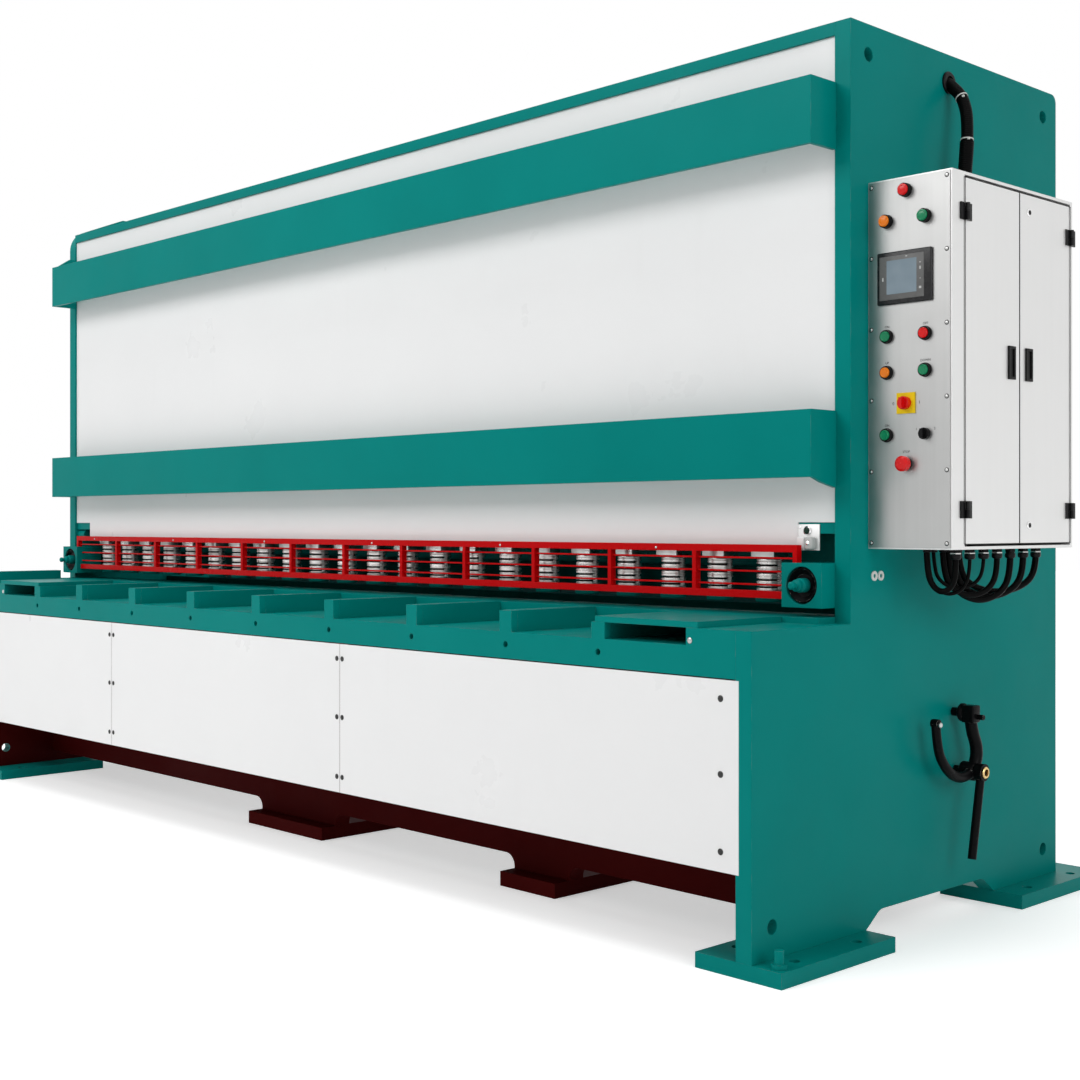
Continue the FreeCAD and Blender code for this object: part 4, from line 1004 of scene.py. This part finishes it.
def door_seams():
    """The dark line of the seal round each cabinet door."""
    seams = bmesh.new()
    face = CABINET[1].x
    front_low, front_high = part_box("cabinet_door_front")
    rear_low, rear_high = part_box("cabinet_door_rear")
    half = 0.0009
    back, front = face - 0.004, face + 0.0006
    for z in (front_low.z, front_high.z):
        block(seams, (back, front_low.y, z - half), (front, rear_high.y, z + half), 0.0003, 1)
    for y in (front_low.y, (front_high.y + rear_low.y) / 2, rear_high.y):
        block(seams, (back, y - half, front_low.z), (front, y + half, front_high.z), 0.0003, 1)
    piece("door_seams", seams, "black")


def door_locks():
    """Bright key locks with a dark middle, over the rear door's plain studs."""
    rims, slots = bmesh.new(), bmesh.new()
    low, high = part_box("door_handle_rear")
    y = low.y + 0.017
    face = CABINET[1].x
    for z in (low.z + 0.009, high.z - 0.009):
        spot = Vector((face, y, z))
        lathe(rims, [(0.0105, 0), (0.0105, 0.003), (0.009, 0.005), (0, 0.005)], spot, "side", 24)
        lathe(slots, [(0.0065, 0.0048), (0.0065, 0.0054), (0, 0.0054)], spot, "side", 20)
    piece("lock_rims", rims, "chrome", "rear_door")
    piece("lock_slots", slots, "black", "rear_door")


# Conduit and cables: the parts' route points, in metres

CONDUIT_ROUTE = [
    (2.0535, 0.077, 2.356), (2.1035, 0.071, 2.317), (2.1335, 0.058, 2.257), (2.1435, 0.046, 2.192),
    (2.1445, 0.038, 2.132), (2.1435, 0.032, 2.077), (2.1435, 0.030, 2.038),
]


def smooth_curve(name, points, resolution=24):
    """An open NURBS curve with the points as its control points."""
    data = bpy.data.curves.new(name, "CURVE")
    data.dimensions = "3D"
    data.resolution_u = resolution
    spline = data.splines.new("NURBS")
    spline.points.add(len(points) - 1)
    for control, point in zip(spline.points, points):
        control.co = (*point, 1)
    spline.order_u = 3
    spline.use_endpoint_u = True
    return placed(name, data)


def curve_points(item):
    """Points along a curve object, as its evaluated mesh gives them."""
    bpy.context.view_layer.update()
    mesh = bpy.data.meshes.new_from_object(item.evaluated_get(bpy.context.evaluated_depsgraph_get()))
    points = [vert.co.copy() for vert in mesh.vertices]
    bpy.data.meshes.remove(mesh)
    return points


CONDUIT_RADIUS = 0.017
RIB_PITCH = 0.0058
RIB_DEPTH = 0.0011
SLEEVE_RADIUS = 0.0196
SLEEVE_RIB = 0.0012
SLEEVE_START = 0.64
TIE_RADIUS = 0.018
TIE_HALF = 0.0018
TIE_SHARES = (0.24, 0.62)


def ribbed(radius, depth, run):
    """The radius of a ribbed hose at a distance along it."""
    return radius - depth * (0.5 - 0.5 * math.cos(math.tau * run / RIB_PITCH))


def conduit():
    """Ribbed conduit from the cheek's hole to the cabinet's top, with two ties, a sleeve and collars."""
    guide = smooth_curve("conduit_guide", CONDUIT_ROUTE, 90)
    line = curve_points(guide)
    bpy.data.objects.remove(guide)
    along = [0.0]
    for start, end in zip(line, line[1:]):
        along.append(along[-1] + (end - start).length)
    hose = bmesh.new()
    tube(hose, line, [ribbed(CONDUIT_RADIUS, RIB_DEPTH, run) for run in along], 24)
    item = mesh_object("conduit_hose", hose, "conduit")
    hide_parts("conduit")
    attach(item, "machine")
    ties, sleeve = bmesh.new(), bmesh.new()
    half_head = Vector((0.003, 0.003, 0.003))
    for share in TIE_SHARES:
        band = [point for point, run in zip(line, along) if abs(run - share * along[-1]) < TIE_HALF]
        tube(ties, band, [TIE_RADIUS] * len(band), 28)
        head = band[len(band) // 2] + Vector((0.013, -0.013, 0))
        block(ties, head - half_head, head + half_head, 0.0006, 1)
    low = [(point, run) for point, run in zip(line, along) if run > SLEEVE_START * along[-1]]
    tube(sleeve, [point for point, _ in low], [ribbed(SLEEVE_RADIUS, SLEEVE_RIB, run) for _, run in low], 28)
    piece("conduit_ties", ties, "tie")
    piece("conduit_sleeve", sleeve, "conduit")
    collars = bmesh.new()
    hole = at(0, 878, 2350)
    lathe(collars, [
        (0.0185, 0), (0.0310, 0), (0.0310, 0.005), (0.028, 0.0078), (0.0185, 0.008),
    ], hole, "side", 36)
    foot = Vector(CONDUIT_ROUTE[-1])
    base = CABINET[1].z
    gland(collars, Vector((foot.x, foot.y, base)), 0.0232, foot.z - base, "up")
    piece("conduit_collars", collars, "black", replaced=("conduit_glands",))


def gland(bm, place, radius, height, axis):
    """A cable gland: six-sided body, round shoulder and dome nut."""
    lathe(bm, [
        (radius * 0.7, 0), (radius, 0.0005), (radius, height * 0.35), (radius * 0.8, height * 0.36),
    ], place, axis, 6)
    lathe(bm, [
        (radius * 0.8, height * 0.34), (radius * 0.8, height * 0.5), (radius * 0.95, height * 0.52),
        (radius * 0.95, height * 0.82), (radius * 0.78, height * 0.97), (radius * 0.55, height),
    ], place, axis, 24)


OUTER_GLAND = 0.015
INNER_GLAND = 0.011
PLAIN_GLAND = 4

# Each cable from the front one to the rear one: its radius and its route
CABLES = [
    (0.008, [
        (2.2485, -0.187, 1.017), (2.2488, -0.1874, 0.9817), (2.2413, -0.1897, 0.9515),
        (2.2257, -0.1938, 0.9347), (2.2074, -0.1988, 0.933), (2.1882, -0.2033, 0.9498),
        (2.1756, -0.2056, 0.9817), (2.1735, -0.206, 1.035),
    ]),
    (0.005, [
        (2.2485, -0.118, 1.017), (2.2478, -0.1192, 0.9784), (2.2383, -0.1267, 0.9452),
        (2.2197, -0.1403, 0.9268), (2.1978, -0.1564, 0.925), (2.1762, -0.1713, 0.9434),
        (2.1636, -0.1788, 0.9784), (2.1615, -0.18, 1.035),
    ]),
    (0.005, [
        (2.2485, -0.049, 1.017), (2.2478, -0.0511, 0.9842), (2.2383, -0.0637, 0.9562),
        (2.2197, -0.0868, 0.9406), (2.1978, -0.1141, 0.939), (2.1762, -0.1393, 0.9546),
        (2.1636, -0.1519, 0.9842), (2.1615, -0.154, 1.035),
    ]),
    (0.008, [
        (2.2485, 0.02, 1.017), (2.2488, 0.017, 0.9758), (2.2413, -0.0007, 0.9406),
        (2.2257, -0.0333, 0.921), (2.2074, -0.0718, 0.919), (2.1882, -0.1073, 0.9386),
        (2.1756, -0.125, 0.9758), (2.1735, -0.128, 1.035),
    ]),
    (0.009, [
        (2.2485, 0.089, 1.017), (2.2488, 0.0852, 0.97), (2.2413, 0.0623, 0.9296),
        (2.2257, 0.0202, 0.9072), (2.2074, -0.0294, 0.905), (2.1882, -0.0753, 0.9274),
        (2.1756, -0.0982, 0.97), (2.1735, -0.102, 1.035),
    ]),
    (0.009, [
        (2.2485, 0.158, 1.017), (2.2488, 0.1533, 0.9733), (2.2413, 0.1252, 0.9359),
        (2.2257, 0.0738, 0.9151), (2.2074, 0.0129, 0.913), (2.1882, -0.0432, 0.9338),
        (2.1756, -0.0713, 0.9733), (2.1735, -0.076, 1.035),
    ]),
    (0.009, [
        (2.2485, 0.227, 1.017), (2.2488, 0.2215, 0.9784), (2.2413, 0.1882, 0.9452),
        (2.2257, 0.1273, 0.9268), (2.2074, 0.0553, 0.925), (2.1882, -0.0112, 0.9434),
        (2.1756, -0.0445, 0.9784), (2.1735, -0.05, 1.035),
    ]),
]


def cables():
    """Cables that hang in loops between the glands under the cabinet, all but one with a bright ring."""
    glands, rings = bmesh.new(), bmesh.new()
    under = CABINET[0].z
    for number, (radius, route) in enumerate(CABLES):
        start, end = Vector(route[0]), Vector(route[-1])
        item = smooth_curve(f"cabinet_cable_{number + 1}", route)
        line = curve_points(item)
        item.data.bevel_depth = radius
        item.data.bevel_resolution = 4
        item.data.use_fill_caps = True
        item.data.materials.append(FINISHES["sheath"])
        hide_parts("hanging_cables")
        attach(item, "machine")
        top = Vector((start.x, start.y, under))
        gland(glands, top, OUTER_GLAND, top.z - start.z, "down")
        gland(glands, Vector((end.x, end.y, under)), INNER_GLAND, under - end.z, "down")
        if number != PLAIN_GLAND:
            lathe(rings, [
                (0.0152, 0.0098), (0.0156, 0.0104), (0.0156, 0.0124), (0.0152, 0.013),
            ], top, "down", 6)
    piece("cable_gland_bodies", glands, "black", replaced=("cable_glands",))
    piece("cable_gland_rings", rings, "screw")


# Cheek, guard, painted shade by the back gauge, and lever

def cheek_eye():
    """A pair of small pale rings on the cheek, under the cabinet's front edge."""
    eye = bmesh.new()
    hole, rim, thick = 0.006, 0.013, 0.003
    for y in (515, 545):
        lathe(eye, [(hole, 0), (rim, 0), (rim, thick), (hole, thick), (hole, 0)], at(0, y, 973), "side", 24)
    piece("cheek_eye", eye, "tie")


GUARD_BAYS = 12


def guard_screws():
    """Button heads along the guard's top rail, one over every second bay."""
    heads = bmesh.new()
    low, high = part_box("finger_guard")
    bay = (high.x - low.x) / GUARD_BAYS
    for number in range(1, GUARD_BAYS, 2):
        place = Vector((high.x - bay * (number + 0.5), low.y, high.z - 0.012))
        dome_head(heads, place, "out", 0.004, 0.002)
    piece("guard_screws", heads, "screw")


def gauge_carrier_painted_shade():
    """A dark plate between the cheeks in front of the back gauge's bar, in the blades' dark teal: painted
    shade behind the hold-down pads.
    """
    beam = bmesh.new()
    low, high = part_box("back_gauge_bar")
    inner_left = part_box("side_frame_left")[1].x
    inner_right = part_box("side_frame_right")[0].x
    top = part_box("table_bolster")[1].z
    thick, hang, clear = 0.02, 0.08, 0.003
    block(beam, (inner_left, low.y - thick, low.z - hang), (inner_right, low.y, top - clear), 0.002)
    # Dark teal plate in the blades' finish: painted shade in the throat behind the pads.
    piece("gauge_carrier_painted_shade", beam, "blade")


# The lever's cast bracket, in millimetres from the cheek, its front edge and the floor
LEVER_PLANE = 56
LEVER_PIN = (914, 418)
LEVER_TIP = (725, 568)
LEVER_ARM = [(903, 566), (910, 530), (934, 490), (934, 448), LEVER_PIN]
LEVER_HOOK = [LEVER_PIN, (868, 404), (814, 414), (766, 448), (732, 498), LEVER_TIP]


def lever_bracket():
    """Cast arm and hook of the gap lever on a flanged post, with a clamp at its head."""
    cast = bmesh.new()
    for route, thick, thin in ((LEVER_ARM, 0.017, 0.018), (LEVER_HOOK, 0.0155, 0.0125)):
        guide = smooth_curve("lever_guide", [at(LEVER_PLANE, y, z) for y, z in route], 10)
        line = curve_points(guide)
        bpy.data.objects.remove(guide)
        last = len(line) - 1
        tube(cast, line, [thick + (thin - thick) * number / last for number in range(last + 1)], 18)
    lathe(cast, [
        (0.012, 0), (0.012, 0.024), (0.023, 0.025), (0.0255, 0.028), (0.0255, 0.036), (0.023, 0.040),
        (0.014, 0.042), (0.014, 0.06),
    ], at(0, 903, 582), "side", 32)
    block(cast, at(38, 883, 556), at(76, 922, 604), 0.004, 3)
    lathe(cast, [(0.0075, 0), (0.0075, 0.018), (0.006, 0.0195), (0, 0.0195)], at(76, 908, 572), "side", 20)
    lathe(cast, [
        (0.012, 0), (0.012, 0.022), (0.024, 0.0235), (0.026, 0.026), (0.026, 0.064), (0.024, 0.067),
        (0, 0.067),
    ], at(0, *LEVER_PIN), "side", 32)
    tip = at(LEVER_PLANE, *LEVER_TIP)
    lathe(cast, [(0, -0.0125), (0.012, -0.0105), (0.0128, 0), (0.012, 0.0105), (0, 0.0125)], tip, "side", 24)
    piece("lever_casting", cast, "iron", replaced=("lever_bracket",))


def lever_trim():
    """The hook's pale bolt and the brass ring on the lever's pin."""
    bolt, ring = bmesh.new(), bmesh.new()
    lever_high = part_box("gap_lever")[1]
    pivot = at(0, *LEVER_PIN)
    lathe(ring, [(0.0102, 0), (0.0165, 0), (0.0165, 0.003), (0.0145, 0.005), (0.0102, 0.005)],
          Vector((lever_high.x + 0.0003, pivot.y, pivot.z)), "side", 28)
    lathe(bolt, [(0.008, 0), (0.008, 0.004), (0.006, 0.006), (0, 0.006)],
          at(LEVER_PLANE + 12, 725, 565), "side", 6)
    piece("lever_bolt", bolt, "screw")
    piece("lever_ring", ring, "brass")


# The whole machine

camera()
lighting()
floor()
paint_nodes()
conduit()
cables()
hold_downs()
cover_panels()
screws()
end_dials()
guard_sensor()
screen()
lamps()
buttons()
panel_lettering()
door_seams()
door_locks()
cheek_eye()
guard_screws()
# Painted shade: a dark plate behind the hold-down pads.
gauge_carrier_painted_shade()
lever_bracket()
lever_trim()

bpy.context.scene.view_settings.view_transform = "Standard"
